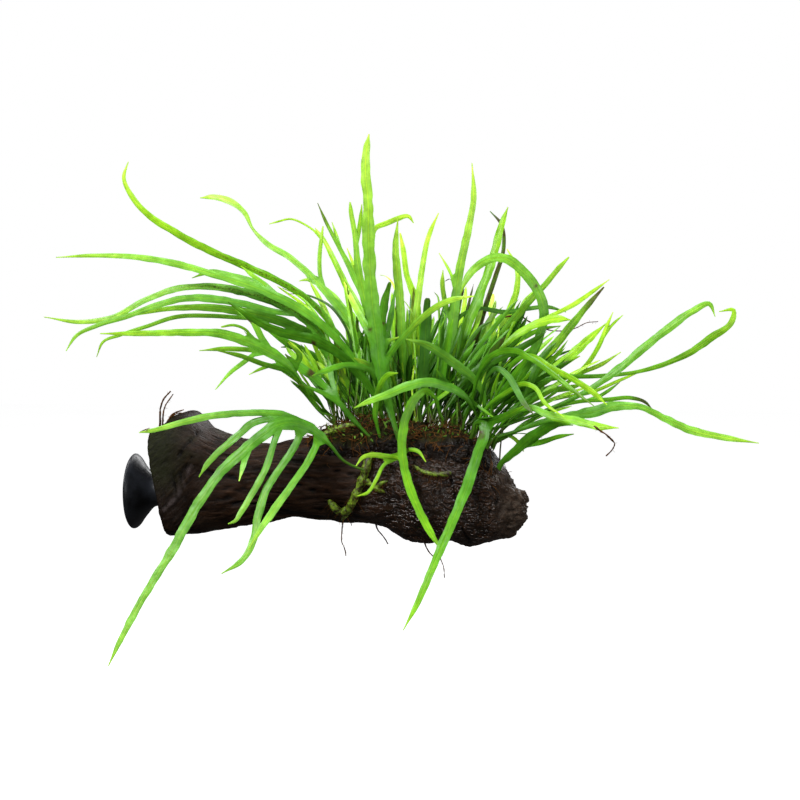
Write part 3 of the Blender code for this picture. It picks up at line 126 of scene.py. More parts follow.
# A frond: its root on the mat as (u, w), its tip's depth w, the blade's tilt in degrees, its route from
# the root to the tip as (u, v, width), and its side lobes, each with its tip's depth and its route.
FRONDS = {
    "frond_low_left": (
        (182, 235), -66, 14,
        ((178, 233.6, 1.3), (172, 230.5, 1.4), (165.5, 223, 1.8), (159.5, 217, 4.4), (152, 212.7, 6.6),
         (145, 211.2, 7), (138, 212.8, 6.2), (131, 217.7, 5.4), (122, 225.2, 5.2), (111, 235.2, 5.1),
         (101.5, 248, 4.9), (93.8, 261, 4.7), (85, 277, 4.4), (75.6, 292, 4), (66.5, 308, 3.6),
         (60.2, 320, 2.9), (54.2, 333, 0.7)),
        ((-44, ((156, 214), (148, 209, 3.6), (138, 207, 3.6), (122, 206.5, 3.5), (103, 208.5, 3.4),
                (88, 212, 3), (76, 215.3, 2.2), (69.5, 216.3, 0.6))),
         (-42, ((143, 211.3), (134, 209.6, 3.4), (126.5, 211.5, 3.5), (119, 217.8, 3.6), (110, 225.3, 3.4),
                (104, 231.5, 2.8), (99.5, 238.5, 0.6))),
         (-58, ((124, 223.5), (121.8, 232, 2.8), (119.5, 240.5, 0.6))),
         (-52, ((140, 212), (136.5, 223, 3.2), (132.5, 235, 3.3), (126.5, 246, 3.3), (120.5, 256, 2.8),
                (117.5, 260.5, 1.8), (114, 262, 0.6))),
         (-60, ((151, 212.5), (148.5, 221, 3.6), (141, 232.5, 3.7), (133, 245, 3.9), (129, 258, 4),
                (126.7, 270, 4), (120.9, 280.3, 3), (110.7, 286.9, 0.6))),
         (-62, ((160, 217.5), (155, 229, 3.6), (147, 241, 3.8), (138, 253.5, 3.7), (130, 265, 3),
                (124, 275, 0.7)))),
    ),
    "frond_droop_middle": (
        (221, -18), -50, -18,
        ((220, 207, 1.4), (217.5, 199, 2), (213, 195.5, 3.2), (207.5, 199.5, 4.2), (203.5, 207, 4.4),
         (201.3, 217, 4.5), (201.3, 228, 4.5), (204, 241, 4.4), (209, 254, 4.1), (214.5, 265, 3.4),
         (221, 275.5, 0.8)), (),
    ),
    "frond_droop_right": (
        (235, -23), -74, 12,
        ((237.5, 212, 2), (241, 210.5, 4.2), (242, 216.5, 5.6), (239, 226, 5.4), (234.5, 240, 5.1),
         (229.3, 253.5, 5), (222.6, 269, 4.8), (215.6, 285.5, 4), (209, 301, 3.1), (201.6, 315.2, 0.6)),
        ((-56, ((241.5, 213), (248, 210, 4), (255, 207, 3.6), (262, 203, 0.8))),),
    ),
    "frond_sprout": (
        (203, 231.5), -36, 0,
        ((199.5, 229.3, 2.2), (193, 228.2, 2.6), (187, 227.5, 2.6), (182, 228.3, 2), (178, 233, 0.6)),
        ((-34, ((200, 229.6), (204, 225, 2), (208.5, 225.3, 2), (213, 231, 0.5))),
         (-36, ((196, 228.7), (191.5, 233, 1.8), (188, 240, 1.8), (183.5, 246.5, 1.6), (178.5, 248, 0.5)))),
    ),
    "frond_level_front": (
        (240, -19), -48, 22,
        ((238, 207, 1.6), (234.5, 200.5, 2.4), (229.5, 196, 3.6), (222, 192.6, 4.6), (213.5, 191, 4.6),
         (205, 192.6, 4.5), (196, 196.3, 4.2), (186.5, 199.8, 3.4), (177, 204, 0.8)),
        ((-38, ((224, 193.3), (220.5, 188, 2.2), (218, 184.5, 0.6))),
         (-34, ((233, 199), (238.5, 202.6, 1.6), (243.5, 206.3, 1.5), (248, 209.5, 0.5)))),
    ),
    "frond_hook_left": (
        (241, -14), -36, -25,
        ((242.3, 205, 1.6), (241.5, 197, 2.6), (238, 191, 3.8), (231, 184.5, 4.4), (223, 178.5, 4.4),
         (214, 172.7, 3.8), (203, 169.5, 0.8)), (),
    ),
    "frond_arch_front": (
        (231, -16), -62, 20,
        ((236, 200, 1.5), (239, 188, 2), (244, 179.5, 3), (250, 176, 3.2), (258, 175.5, 3),
         (266, 179.5, 2.8), (276, 186.7, 2.6), (287, 195.5, 2.2), (297, 203, 0.5)), (),
    ),
    "frond_dark_tip": (
        (236, -10), -54, -15,
        ((240.5, 200, 1.4), (244, 188, 1.8), (248.5, 184, 2.6), (253.5, 187.5, 3.2), (258, 194.5, 3.2),
         (262, 201.5, 2.8), (266.5, 207, 0.8)), (),
    ),
    "frond_pale_arch": (
        (236, -18), -60, 15,
        ((241, 207, 1.5), (247, 200.5, 2.2), (254, 195.7, 2.6), (262, 191.8, 2.4), (267.5, 193.8, 2.2),
         (272, 201, 2), (282, 208.5, 0.5)), (),
    ),
    "frond_curl_middle": (
        (190.5, 220), -32, 25,
        ((188.8, 214, 1.6), (187.6, 207, 2.6), (188.3, 199, 3), (190.6, 191.5, 3), (194, 187.3, 2.6),
         (199, 186.5, 0.8)), (),
    ),
    "frond_olive": (
        (187, -12), -50, 20,
        ((189, 205, 1.4), (188.5, 193, 1.8), (185, 185.5, 2.6), (178, 182.8, 3), (171, 182.7, 3),
         (163, 185.2, 2.8), (156, 188, 0.6)), (),
    ),
    "frond_front_left": (
        (192, -13), -54, -20,
        ((190, 203, 1.8), (184.5, 193, 3.6), (177.5, 184.5, 4.8), (168, 176, 5), (157, 170, 5),
         (144, 167, 4.6), (133, 163, 4.4), (125, 158.5, 3.2), (119, 154.5, 1.8), (114, 151, 0.5)), (),
    ),
    "frond_tall_centre": (
        (200, 221.5), -14, 12,
        ((197, 211.5, 2.6), (194, 201, 4), (191, 191, 6), (189.5, 180, 7), (188.3, 168, 7.2),
         (186.5, 155, 6.8), (185.3, 140, 6.4), (184.3, 120, 6), (184, 100, 5.2), (182.7, 84, 4.8),
         (183.4, 74, 3.6), (184.5, 67, 0.8)),
        ((-38, ((190.5, 187), (193, 180.5, 3), (198.5, 172.3, 3.2), (206, 164, 3.2), (214.5, 156, 3.2),
                (224, 150.5, 3), (237, 148, 0.8))),
         (-20, ((189.3, 178), (192.8, 171.5, 3), (199.5, 168.5, 0.8))),
         (6, ((189, 174), (184, 165, 3.6), (179, 156, 3.4), (175, 148, 2.6), (172, 141, 0.6))),
         (-32, ((191, 190), (187, 184.5, 3.2), (182, 181.5, 3.4), (177, 179, 0.8)))),
    ),
    "frond_dark_left": (
        (186, 219.5), -22, 18,
        ((181, 214.5, 3), (175.5, 208.5, 4.6), (169, 201, 5), (162.5, 197, 4.4), (156, 194.3, 3),
         (149, 192, 0.8)),
        ((2, ((169.5, 201.5), (167, 194, 4.2), (165.3, 186, 3.2), (164, 178, 0.7))),
         (8, ((173, 205), (165, 195.5, 5), (158, 189.5, 5.5), (151.5, 184.5, 5), (146, 180.5, 3),
                (142.5, 177, 0.6)))),
    ),
    "frond_mid_left": (
        (168, -7), -40, 15,
        ((161, 206.5, 1.7), (153.5, 195.5, 1.8), (148, 187, 2.2), (142.5, 181, 4.4), (135.5, 176.4, 5.2),
         (124, 171, 4.7), (111, 167, 4.2), (97, 166.2, 3.8), (82, 166.5, 3.4), (66, 166.8, 2.6),
         (50, 166.8, 0.6)),
        ((-16, ((134, 175), (130.2, 168, 3.4), (126.6, 160.8, 3.4), (121, 156, 2.8), (115, 152, 0.5))),
         (-26, ((127, 172.3), (123, 165, 1.4), (117, 162.6, 1.4), (110.5, 163.5, 1))),
         (-48, ((137, 177.5), (127, 175.2, 2.6), (113, 174.4, 2.6), (99.7, 175.3, 0.5))),
         (-54, ((148, 186.5), (141, 184.5, 2.8), (131, 181.8, 2.6), (120, 177.8, 2.4), (109, 175.5, 0.5))),
         (-22, ((146, 184.5), (149.8, 178.5, 3), (143.9, 171, 0.5))),
         (-36, ((144, 182.5), (137.5, 182.4, 1.8), (131, 184.2, 1.8), (124.5, 187.3, 0.4))),
         (-56, ((131, 174), (124, 179.5, 2.4), (115, 186.5, 2.2), (107.7, 194.8, 0.5))),
         (-28, ((163.5, 209), (159.5, 201, 1.4), (154, 192, 1.7), (149, 185, 0.6)))),
    ),
    "frond_far_left_top": (
        (176, 5), 26, -20,
        ((175, 200, 1.4), (173, 182, 2), (168.5, 168, 2.8), (161, 156.5, 3), (152, 148, 3), (140, 141, 3.3),
         (122.2, 132.8, 3.7), (104.2, 125, 3.8), (88.4, 116.6, 3.7), (75.4, 108.4, 3.3), (66.3, 98.8, 2.7),
         (61.9, 88.5, 1.9), (64.2, 80.8, 0.5)), (),
    ),
    "frond_far_left_upper": (
        (188, 0), -4, 20,
        ((185, 200, 1.6), (181, 188, 2.6), (174, 176, 3.4), (164, 165, 4.2), (152, 155.5, 4.6),
         (138, 148, 4.4), (124, 142.4, 4.1), (106, 137, 3.6), (86, 131.4, 3.4), (66, 128.4, 2.9),
         (46, 127.8, 2), (28, 128.7, 0.5)),
        ((16, ((138, 148), (129, 141.8, 2.8), (117, 138.2, 3), (105, 136, 2.6), (96, 139, 0.5))),
         (24, ((142, 149.5), (133, 142.8, 2.6), (126, 137.5, 2.2), (120.5, 133, 0.5)))),
    ),
    "frond_far_left_middle": (
        (183, 3), 8, 15,
        ((180, 207, 1.8), (174.5, 200, 2.4), (169.5, 192, 2.6), (166, 182, 3), (162, 171, 4),
         (153, 160, 4.6), (138, 151.3, 4.4), (120, 145.6, 4), (103, 143.3, 3.4), (88, 144.4, 3.1),
         (72, 150.4, 2.9), (56, 158.8, 2.8), (40, 161, 2.2), (22, 158.5, 0.5)),
        ((-12, ((149, 157.5), (137, 155.8, 3), (122, 152, 3.4), (108, 149.6, 3.7), (92, 149.2, 3.7),
                (78, 152.8, 3), (63, 158.3, 2.6), (48, 163, 2.2), (38, 168, 1.8), (33, 175.5, 0.5))),),
    ),
    "frond_far_left_lower": (
        (184, 8), 40, -18,
        ((181, 204, 1.8), (175.5, 195.5, 2.8), (170.5, 187.5, 3), (165, 178.5, 3.4), (157, 169.5, 4.6),
         (147, 163.3, 5), (135, 159, 4.6), (121, 155.8, 4.3), (107, 154, 3.6), (93, 153.8, 3),
         (79, 155, 2.4), (62, 158.8, 0.5)),
        ((26, ((137, 159.5), (120, 158.8, 2.2), (105, 157.9, 2.2), (88, 158.5, 2.2), (73, 163.3, 2),
               (60, 167.5, 1.8), (51.5, 171, 1.4), (48.3, 178.5, 0.4))),),
    ),
    "frond_twisted": (
        (187, 7), 50, 22,
        ((188, 198, 1.6), (186, 184, 2.6), (180, 169, 4.2), (171, 156, 4.2), (163, 146, 3.6),
         (155.8, 138.2, 3.2), (144.4, 128.4, 3.1), (133.3, 121.6, 2.7), (126.3, 114.3, 1.4),
         (122.2, 106.3, 2.5), (114.2, 100.3, 3.4), (106, 98.5, 2.7), (100, 99, 0.5)),
        ((36, ((166, 149.5), (160.6, 140, 2.2), (159.7, 130, 2.2), (160.6, 120, 2), (161.5, 113, 0.8))),
         (30, ((158.5, 141.5), (153.5, 139.8, 1.6), (149.5, 140.5, 0.4))),
         (66, ((181, 171), (175.5, 159, 3), (167.5, 149, 3), (162, 143.5, 1.6), (157, 141, 0.5)))),
    ),
    "frond_yellow_thin": (
        (189, 9), 62, -20,
        ((190, 195, 1.6), (187.5, 178, 3), (182, 159, 4), (173, 142.5, 3.4), (166.3, 128.5, 2.6),
         (161, 118.5, 2), (157.5, 114, 0.5)),
        ((76, ((165.5, 127), (160, 118.2, 1.1), (152.5, 112.3, 1), (145, 109.5, 1), (139, 110.8, 1),
               (134.6, 112, 0.4))),),
    ),
    "frond_needle": (
        (191, 5), 20, 25,
        ((191, 196, 1.6), (189, 176, 3), (184, 154, 4), (177, 138, 3.2), (169.3, 123, 2.2),
         (163, 111, 1.7), (158.8, 101.5, 0.4)),
        ((32, ((178, 140), (172, 129, 2.2), (168.3, 118, 1.8), (166, 111, 0.4))),),
    ),
    "frond_blunt_left": (
        (194, 0), 12, -20,
        ((193.5, 195, 1.6), (189, 174, 3), (182.5, 150, 4), (178.8, 131, 3.2), (177.3, 116, 2.7),
         (175.5, 106, 2.4), (175, 101, 1)),
        ((26, ((181, 145), (177, 133, 2), (173.5, 124, 0.5))),
         (6, ((178.1, 127), (179.2, 117, 2.4), (180.3, 109, 2), (181, 102, 0.5)))),
    ),
    "frond_back_hook": (
        (194, 5), 30, 15,
        ((195, 190, 1.4), (190, 165, 1.8), (186.5, 140, 2.2), (185.6, 122, 2.4), (188, 113.8, 2.6),
         (193, 111.8, 2.8), (199, 109.2, 2.6), (204.4, 108.2, 2), (206.8, 111.6, 0.5)), (),
    ),
    "frond_lime": (
        (203, 0), 0, -12,
        ((202.5, 195, 1.6), (201, 172, 3.6), (200.3, 155, 4.3), (199, 140, 4.1), (197.8, 124, 3.4),
         (199, 109, 0.6)), (),
    ),
    "frond_back_blunt": (
        (205, 7), 46, 20,
        ((210, 190, 1.6), (209, 168, 4), (207.8, 150, 3.6), (203.2, 137, 2.8), (201.8, 126, 2.7),
         (200, 116.5, 1.2)), (),
    ),
    "frond_back_thin": (
        (208, 1), 38, -20,
        ((206, 195, 1.4), (206, 172, 3.4), (209.3, 148, 3.2), (211.6, 131, 2.8), (214.7, 117, 2.4),
         (219.3, 106.5, 0.6)), (),
    ),
    "frond_tall_right": (
        (217, -6), 4, 15,
        ((219, 200, 2), (222, 184, 4.6), (225.8, 166, 5.6), (227.8, 149, 4.8), (230.5, 131, 4.3),
         (234, 115.5, 3.7), (236.8, 99, 2.9), (236, 81.5, 0.6)),
        ((22, ((228, 144), (224.5, 135, 1.5), (219.5, 126.5, 0.4))),
         (-10, ((226, 163), (222.3, 150, 2.6), (221.2, 141.5, 2.4), (221.5, 135, 0.5)))),
    ),
    "frond_broad_dark": (
        (211, -9), -22, 20,
        ((211.5, 200, 2), (212, 184, 5.4), (212.8, 167, 5.6), (213.8, 149, 3.4)), (),
    ),
    "frond_short_dark": (
        (197, -3), -2, -25,
        ((195.5, 200, 1.6), (193, 182, 3.4), (191, 167, 4.2), (192, 153, 4.2), (195, 141, 2)),
        ((10, ((192, 174), (195, 160, 3.2), (197.5, 145, 1))),),
    ),
    "frond_broad_right": (
        (227, -4), 18, -18,
        ((228, 200, 1.8), (229.5, 183, 4.4), (232.5, 166, 5.6), (238.4, 151, 5.2), (243.4, 138, 4.6),
         (248.1, 123, 4), (251.2, 111, 3.2), (254, 103.5, 0.6)), (),
    ),
    "frond_rolled_brown": (
        (225, 0), 32, 0,
        ((233, 195, 1.4), (238, 170, 2.6), (243.5, 151, 2.6), (248, 137.5, 2.3), (251.8, 124, 2),
         (250.6, 112, 1.6), (245, 105.6, 0.5)), (),
    ),
    "frond_arch_right": (
        (236, -5), -12, 15,
        ((248, 207, 1.6), (257, 194, 2.6), (264.5, 181, 4), (270, 167.5, 4.6), (272.1, 156, 4.9),
         (268.6, 144.8, 5.1), (261, 135.3, 5.2), (251, 128.8, 4.6), (241.5, 131, 4.2), (234.3, 137.8, 3.5),
         (230, 147, 0.7)), (),
    ),
    "frond_level_dark": (
        (222, -4), 22, -15,
        ((223, 195, 1.3), (224.5, 172, 1.5), (231, 157.5, 2), (240, 154.5, 2.3), (252, 156, 2.4),
         (264, 154.3, 2.3), (274, 153.5, 2), (283, 156, 0.5)), (),
    ),
    "frond_blunt_right": (
        (231, -9), 14, 22,
        ((236, 200, 1.6), (241, 184, 3.8), (248, 171.5, 4.4), (256, 161, 4), (264, 151.5, 3.3),
         (272, 143, 3), (279, 134.5, 2.7), (284.5, 128.5, 1)), (),
    ),
    "frond_back_right": (
        (229, 0), 48, -20,
        ((238, 195, 1.6), (247, 173, 3.2), (254.5, 156, 3.6), (258.3, 145, 3), (258.5, 134, 2.4),
         (253.5, 124.5, 0.7)),
        ((54, ((246.5, 174), (246.6, 163, 3), (245.6, 154, 3.4), (246.6, 147, 1.6))),),
    ),
    "frond_far_right_top": (
        (241, -8), -16, -20,
        ((252, 213, 1.4), (268, 207, 1.6), (285, 200, 2.2), (298, 192.7, 3), (310, 183.9, 3.7),
         (322, 173.8, 4.1), (335, 163.6, 4.1), (346.6, 155.4, 3.4), (354.8, 152, 2.4),
         (357.6, 158.4, 0.4)), (),
    ),
    "frond_far_right_arm": (
        (237, -3), 26, 18,
        ((248, 203, 1.4), (262, 193, 2), (280, 188.8, 2.3), (300, 188, 2.2), (317, 186.2, 1.9),
         (331, 182.5, 2.5), (345, 176.2, 3.5), (356.8, 168, 3.7), (366, 160.6, 3.1), (366.8, 155.2, 2.2),
         (359.5, 155.8, 0.5)), (),
    ),
    "frond_right_thin": (
        (241, -3), 46, 0,
        ((253, 212, 1.3), (266, 203, 1.4), (281, 198.8, 1.6), (296, 196, 1.8), (309, 190.5, 1.7),
         (322, 185, 0.5)), (),
    ),
    "frond_right_brown_tip": (
        (246, -5), 8, 15,
        ((256, 217, 1.3), (272, 206, 1.6), (288, 201, 2), (304, 199.8, 2.2), (316, 199, 2),
         (322.5, 201, 1.6), (326, 204.5, 0.5)),
        ((22, ((296, 200.4), (303.5, 195.8, 1.8), (310, 191, 0.5))),),
    ),
    "frond_far_right_low": (
        (246, -12), -26, -15,
        ((257, 216, 2), (271, 211, 3), (284, 208.3, 4.2), (297, 205.9, 5.4), (309, 202.9, 4.8),
         (320.4, 203.6, 3.1), (333, 209.5, 3.7), (346, 215.3, 4), (361, 218.6, 3.4),
         (379.5, 221.6, 0.5)), (),
    ),
    "frond_right_pale": (
        (243, -13), -46, 20,
        ((246, 203, 1.3), (252, 190, 1.6), (259, 179.5, 2.2), (265, 178, 2.6), (275, 183.5, 3),
         (288, 190.5, 3), (297, 196.5, 3), (303.5, 202.5, 0.5)), (),
    ),
    "frond_right_bright": (
        (243, -22), -60, -20,
        ((250, 213, 1.4), (257, 206.5, 2), (265, 203.8, 3), (275, 207.8, 3.8), (288, 210.4, 4.4),
         (298.6, 213.1, 3.9), (309.4, 214, 0.6)), (),
    ),
    "frond_right_forked": (
        (245, -7), 60, 15,
        ((262, 207, 1.3), (275, 198, 1.5), (286.4, 189, 1.9), (294.4, 181, 2.3), (300.3, 171, 2.4),
         (303.4, 163, 1.9), (306.5, 156, 0.4)),
        ((66, ((302.5, 168.5), (307, 161.5, 1.4), (311.5, 157.5, 0.4))),
         (70, ((289, 187.3), (300, 182.5, 2.2), (310.5, 176, 0.5)))),
    ),
    "frond_back_far_right": (
        (233, -1), 76, -18,
        ((247, 200, 1.4), (260, 195, 2), (272, 189, 3.4), (283, 179.8, 4.2),
         (293.6, 170.3, 4.1), (303.4, 161.4, 0.6)), (),
    ),
    "frond_brown_tip": (
        (231, -3), 30, 20,
        ((243, 200, 1.5), (256, 192.5, 2.4), (266, 187, 3.4), (275.5, 175.5, 4), (285, 163.5, 3.8),
         (293.5, 153, 3), (302, 143.5, 1)), (),
    ),
    "frond_low_right": (
        (249, 235), -38, 15,
        ((250.8, 231.5, 2.8), (254.5, 228, 4.2), (259.5, 223.8, 5), (265, 219.3, 6), (272, 214.8, 5),
         (280, 211.8, 3), (286.6, 212.6, 0.6)),
        ((-44, ((262, 222.5), (270, 221.2, 3), (279, 218.4, 2.3), (287, 217, 0.6))),),
    ),
    "frond_fork_right": (
        (226, -9), -10, -20,
        ((234, 200, 1.4), (243, 184, 1.8), (252, 173, 2.6), (262, 165, 3.6), (272, 160.7, 4),
         (279.5, 159.4, 3.6), (285.5, 160, 0.6)),
        ((6, ((266, 162.7), (277, 157.2, 2), (287, 152.2, 2.6), (296, 146, 2), (304.7, 139.7, 0.4))),),
    ),
    "frond_rear_centre": (
        (200, 6), 70, 20,
        ((201.5, 198, 1.6), (202.3, 187, 5), (203.5, 175, 6), (205, 163, 4.4), (206, 153, 2.4),
         (205.5, 146, 0.8)), (),
    ),
    "frond_rear_right": (
        (214, 5), 74, -20,
        ((216, 198, 1.6), (218.5, 186, 5.4), (220.5, 173, 5.6), (222, 161, 3.4), (222.5, 151, 0.8)), (),
    ),
    "frond_rear_far_right": (
        (221, 3), 80, 15,
        ((231, 198, 1.6), (237, 186, 5), (242, 174, 5.6), (247, 163, 4), (252.5, 155, 0.8)),
        ((92, ((240, 179), (250, 174, 3.4), (261, 169, 3), (271, 164.5, 2), (280, 163, 0.6))),),
    ),
    "frond_rear_left": (
        (181, 12), 60, -15,
        ((178, 202, 1.6), (171.5, 191.5, 2.4), (165, 184, 3.2), (157.5, 178.3, 3.7), (149.5, 174.3, 3.7),
         (142, 170.3, 3.4), (136, 166, 2.6), (131, 162.5, 0.6)),
        ((52, ((152, 175.8), (146, 173.4, 2), (140.5, 173.6, 0.5))),
         (72, ((166, 185), (163, 177, 2.8), (157.5, 167, 2.8), (151, 159, 0.8)))),
    ),
    "frond_rear_low": (
        (238, 2), 88, 20,
        ((248, 206, 1.6), (258, 197, 3.6), (270, 189, 4.6), (281, 182, 3.6), (290, 178, 0.8)),
        ((70, ((262, 194.5), (273, 195, 3.4), (284, 194, 3), (292, 192, 0.6))),),
    ),
}  # fmt: skip
# Rooted on the front: their root is (u, v)
ON_FACE = (
    "frond_low_left", "frond_sprout", "frond_tall_centre", "frond_curl_middle", "frond_dark_left",
    "frond_low_right",
)  # fmt: skip
# In front of the log, so their knots stay before its face
BEFORE_LOG = ON_FACE + ("frond_droop_middle", "frond_droop_right")
FACE_ROOT_GAP = 0.8  # mm from a front root's middle to the wood, beyond GAP
MAT_ROOT_GAP = 0.5  # and from a mat root's
MAT_LINE = 212.0  # v where the search for the mat's top starts
DROP_ROUNDS = 6
DROP_HEIGHT = 0.2  # m over the rim's centre, above the log and the mat
SIGHT = 400  # mm before and behind the sheet that a sight line runs


def axes_of_view():
    a, e = VIEW_TURN, VIEW_RISE
    right = np.array((math.cos(a), math.sin(a), 0))
    up = np.array((-math.sin(a) * math.sin(e), math.cos(a) * math.sin(e), math.cos(e)))
    away = np.array((-math.sin(a) * math.cos(e), math.cos(a) * math.cos(e), -math.sin(e)))
    return right, up, away


RIGHT, UP, AWAY = axes_of_view()


def from_sheet(rows):
    """Rows (u, v, w) in mm as points in mm, measured from the sheet's middle."""
    rows = np.asarray(rows, float)
    spread = 1 + rows[..., 2] / VIEW_DISTANCE
    across = spread * (rows[..., 0] - SHEET_CENTRE)
    over = spread * (SHEET_CENTRE - rows[..., 1])
    return across[..., None] * RIGHT + over[..., None] * UP + rows[..., 2, None] * AWAY


ORIGIN = from_sheet(CUP_ON_SHEET)


def world(rows):
    """Rows (u, v, w) in mm as points of the part's frame, in metres."""
    return (from_sheet(rows) - ORIGIN) * MM


def sheet_of(points):
    """Rows (u, v, w) of points of the frame, in metres."""
    p = np.asarray(points, float) / MM + ORIGIN
    w = p @ AWAY
    spread = 1 + w / VIEW_DISTANCE
    return np.stack([SHEET_CENTRE + (p @ RIGHT) / spread, SHEET_CENTRE - (p @ UP) / spread, w], -1)


def seen(point):
    return tuple(sheet_of(point).tolist())


def on_log_plane(u, v):
    """x and z in mm where the sight line through (u, v) meets the upright plane y = 0."""
    flat = from_sheet((u, v, 0))
    w = (ORIGIN[1] - flat[1]) / (flat[1] / VIEW_DISTANCE + AWAY[1])
    x, _, z = world((u, v, w)) / MM
    return x, z


def smooth_step(t):
    t = np.clip(t, 0, 1)
    return t * t * (3 - 2 * t)


def summed(steps):
    """Length from the start at each point of a line, from the lengths of its steps."""
    return np.concatenate([[0], np.cumsum(steps)])


def sheet_lengths(rows):
    return summed(np.hypot(*np.diff(rows[:, :2], axis=0).T))


def through(p, t, slope, at):
    """The smooth curve through points p with slopes at t: its points at at, and where those lie in p."""
    k = np.clip(np.searchsorted(t, at, side="right") - 1, 0, len(t) - 2)
    h = (t[k + 1] - t[k])[:, None]
    f = ((at - t[k]) / (t[k + 1] - t[k]))[:, None]
    curve = (
        (1 + 2 * f) * (1 - f) ** 2 * p[k]
        + f * (1 - f) ** 2 * h * slope[k]
        + f * f * (3 - 2 * f) * p[k + 1]
        + f * f * (f - 1) * h * slope[k + 1]
    )
    return curve, k, f


def smooth_route(route, step=0.5):
    """Rows close together on a smooth curve through route's rows (u, v, ...).
    The other columns, such as a width, ease from row to row. The first column of the result is length."""
    p = np.asarray(route, float)
    t = sheet_lengths(p)
    run = np.diff(p, axis=0) / np.diff(t)[:, None]
    before, after = np.diff(t)[:-1, None], np.diff(t)[1:, None]
    middle = (run[:-1] * after + run[1:] * before) / (before + after)
    slope = np.vstack([run[:1], middle, run[-1:]])
    curve, k, f = through(p, t, slope, np.linspace(0, t[-1], max(8, int(t[-1] / step)) + 1))
    curve[:, 2:] = p[k, 2:] + (p[k + 1, 2:] - p[k, 2:]) * smooth_step(f)
    return np.column_stack([sheet_lengths(curve), curve])


def lookup(table, at):
    xs, ys = np.array(table, float).T
    return np.interp(at, xs, ys)


def outline(points):
    return tuple(on_log_plane(u, v) for u, v in points)


TOP_LINE, BOTTOM_LINE = outline(LOG_TOP), outline(LOG_BOTTOM)
KNOB_LINE = tuple((on_log_plane(u, SHEET_CENTRE)[0], h) for u, h in KNOB)
FLANGE_LINE = tuple((on_log_plane(u, SHEET_CENTRE)[0], h) for u, h in FLANGE)


def log_relief(x, angle):
    """Broad dents and swellings of the log, in mm."""
    return (
        0.7 * np.sin(0.085 * x + 2 * angle + 1)
        + 0.5 * np.sin(0.19 * x - 3 * angle + 2)
        + 0.35 * np.sin(0.31 * x + 5 * angle)
    )


def around(sides):
    return [2 * math.pi * i / sides for i in range(sides)]


def face_depth(tree, u, v):
    """The depth w at which the sight line through (u, v) first meets the tree, or None."""
    near, far = (Vector(p) for p in world(((u, v, -SIGHT), (u, v, SIGHT))))
    hit = tree.ray_cast(near, (far - near).normalized())[0]
    return None if hit is None else seen(hit)[2]


def stand(solids, u, depth, off=0.0):
    """Straight down onto the solids at u and depth: the point off mm from the surface, and its normal."""
    v = MAT_LINE
    for _ in range(DROP_ROUNDS):
        x, y, _ = world((u, v, depth))
        top, normal, _, _ = solids.ray_cast(Vector((x, y, DROP_HEIGHT)), Vector((0, 0, -1)))
        base = top + normal * (off * MM)
        v += seen(base)[1] - v
    return base, normal


def make_strap(frond, route, tip_depth, tilt, parent=None):
    """One lobe, or a frond's main one: its rows (length, u, v, width), its lean and where it forks off."""
    strap = SimpleNamespace(frond=frond, parent=parent, tip_depth=tip_depth, tilt=tilt, lobes=[])
    if parent is None:
        strap.rows = smooth_route(route)
        strap.start = 0.0
        return strap
    gap = np.hypot(*(parent.rows[:, 1:3] - route[0][:2]).T)
    k = int(gap.argmin())
    first = (*parent.rows[k, 1:3], route[1][2])
    rows = smooth_route((first, *route[1:]))
    away = np.hypot(*(rows[:, None, 1:3] - parent.rows[None, :, 1:3]).transpose(2, 0, 1))
    nearest = away.argmin(1)
    outside = away.min(1) > parent.rows[nearest, 3] / 2
    leaves = int(outside.argmax())  # where the lobe's middle comes out of its parent's edge
    strap.start = rows[leaves, 0]
    strap.rows = rows
    strap.fork = float(parent.rows[nearest[leaves], 0])
    here = nearest[leaves]
    run = parent.rows[min(here + 2, len(parent.rows) - 1), 1:3] - parent.rows[max(here - 2, 0), 1:3]
    out = rows[leaves, 1:3] - parent.rows[here, 1:3]
    strap.side = 1 if run[0] * out[1] - run[1] * out[0] > 0 else -1
    parent.lobes.append(strap)
    return strap


def at_length(strap, s):
    """u, v, half width and the unit vector to the strap's right-hand side, at lengths s."""
    rows = strap.rows
    u, v, width = (np.interp(s, rows[:, 0], rows[:, c]) for c in (1, 2, 3))
    ahead, behind = np.minimum(s + SLOPE_REACH, rows[-1, 0]), np.maximum(s - SLOPE_REACH, 0)
    at, u_rows, v_rows = rows[:, :3].T
    du = np.interp(ahead, at, u_rows) - np.interp(behind, at, u_rows)
    dv = np.interp(ahead, at, v_rows) - np.interp(behind, at, v_rows)
    size = np.hypot(du, dv)
    return u, v, width / 2, -dv / size, du / size


def lean_of(strap, s):
    """How far the blade's side steps back for each mm across it: none on the stalk, all on the blade."""
    _, _, half, _, _ = at_length(strap, s)
    return math.tan(math.radians(strap.tilt)) * smooth_step((half - 0.6) / 1.2)


def plant_root(name, root, solids):
    """The first rows (u, v, w) of a frond: on a rhizome's face, or on the mat's top and a little off it."""
    if name in ON_FACE:
        u, v = root
        return [(u, v, face_depth(solids, u, v) - GAP - FACE_ROOT_GAP)]
    base, normal = stand(solids, *root, GAP + MAT_ROOT_GAP)
    rise = (normal + Vector((0, 0, 0.8))).normalized()
    return [seen(base), seen(base + rise * (ROOT_RISE * MM))]


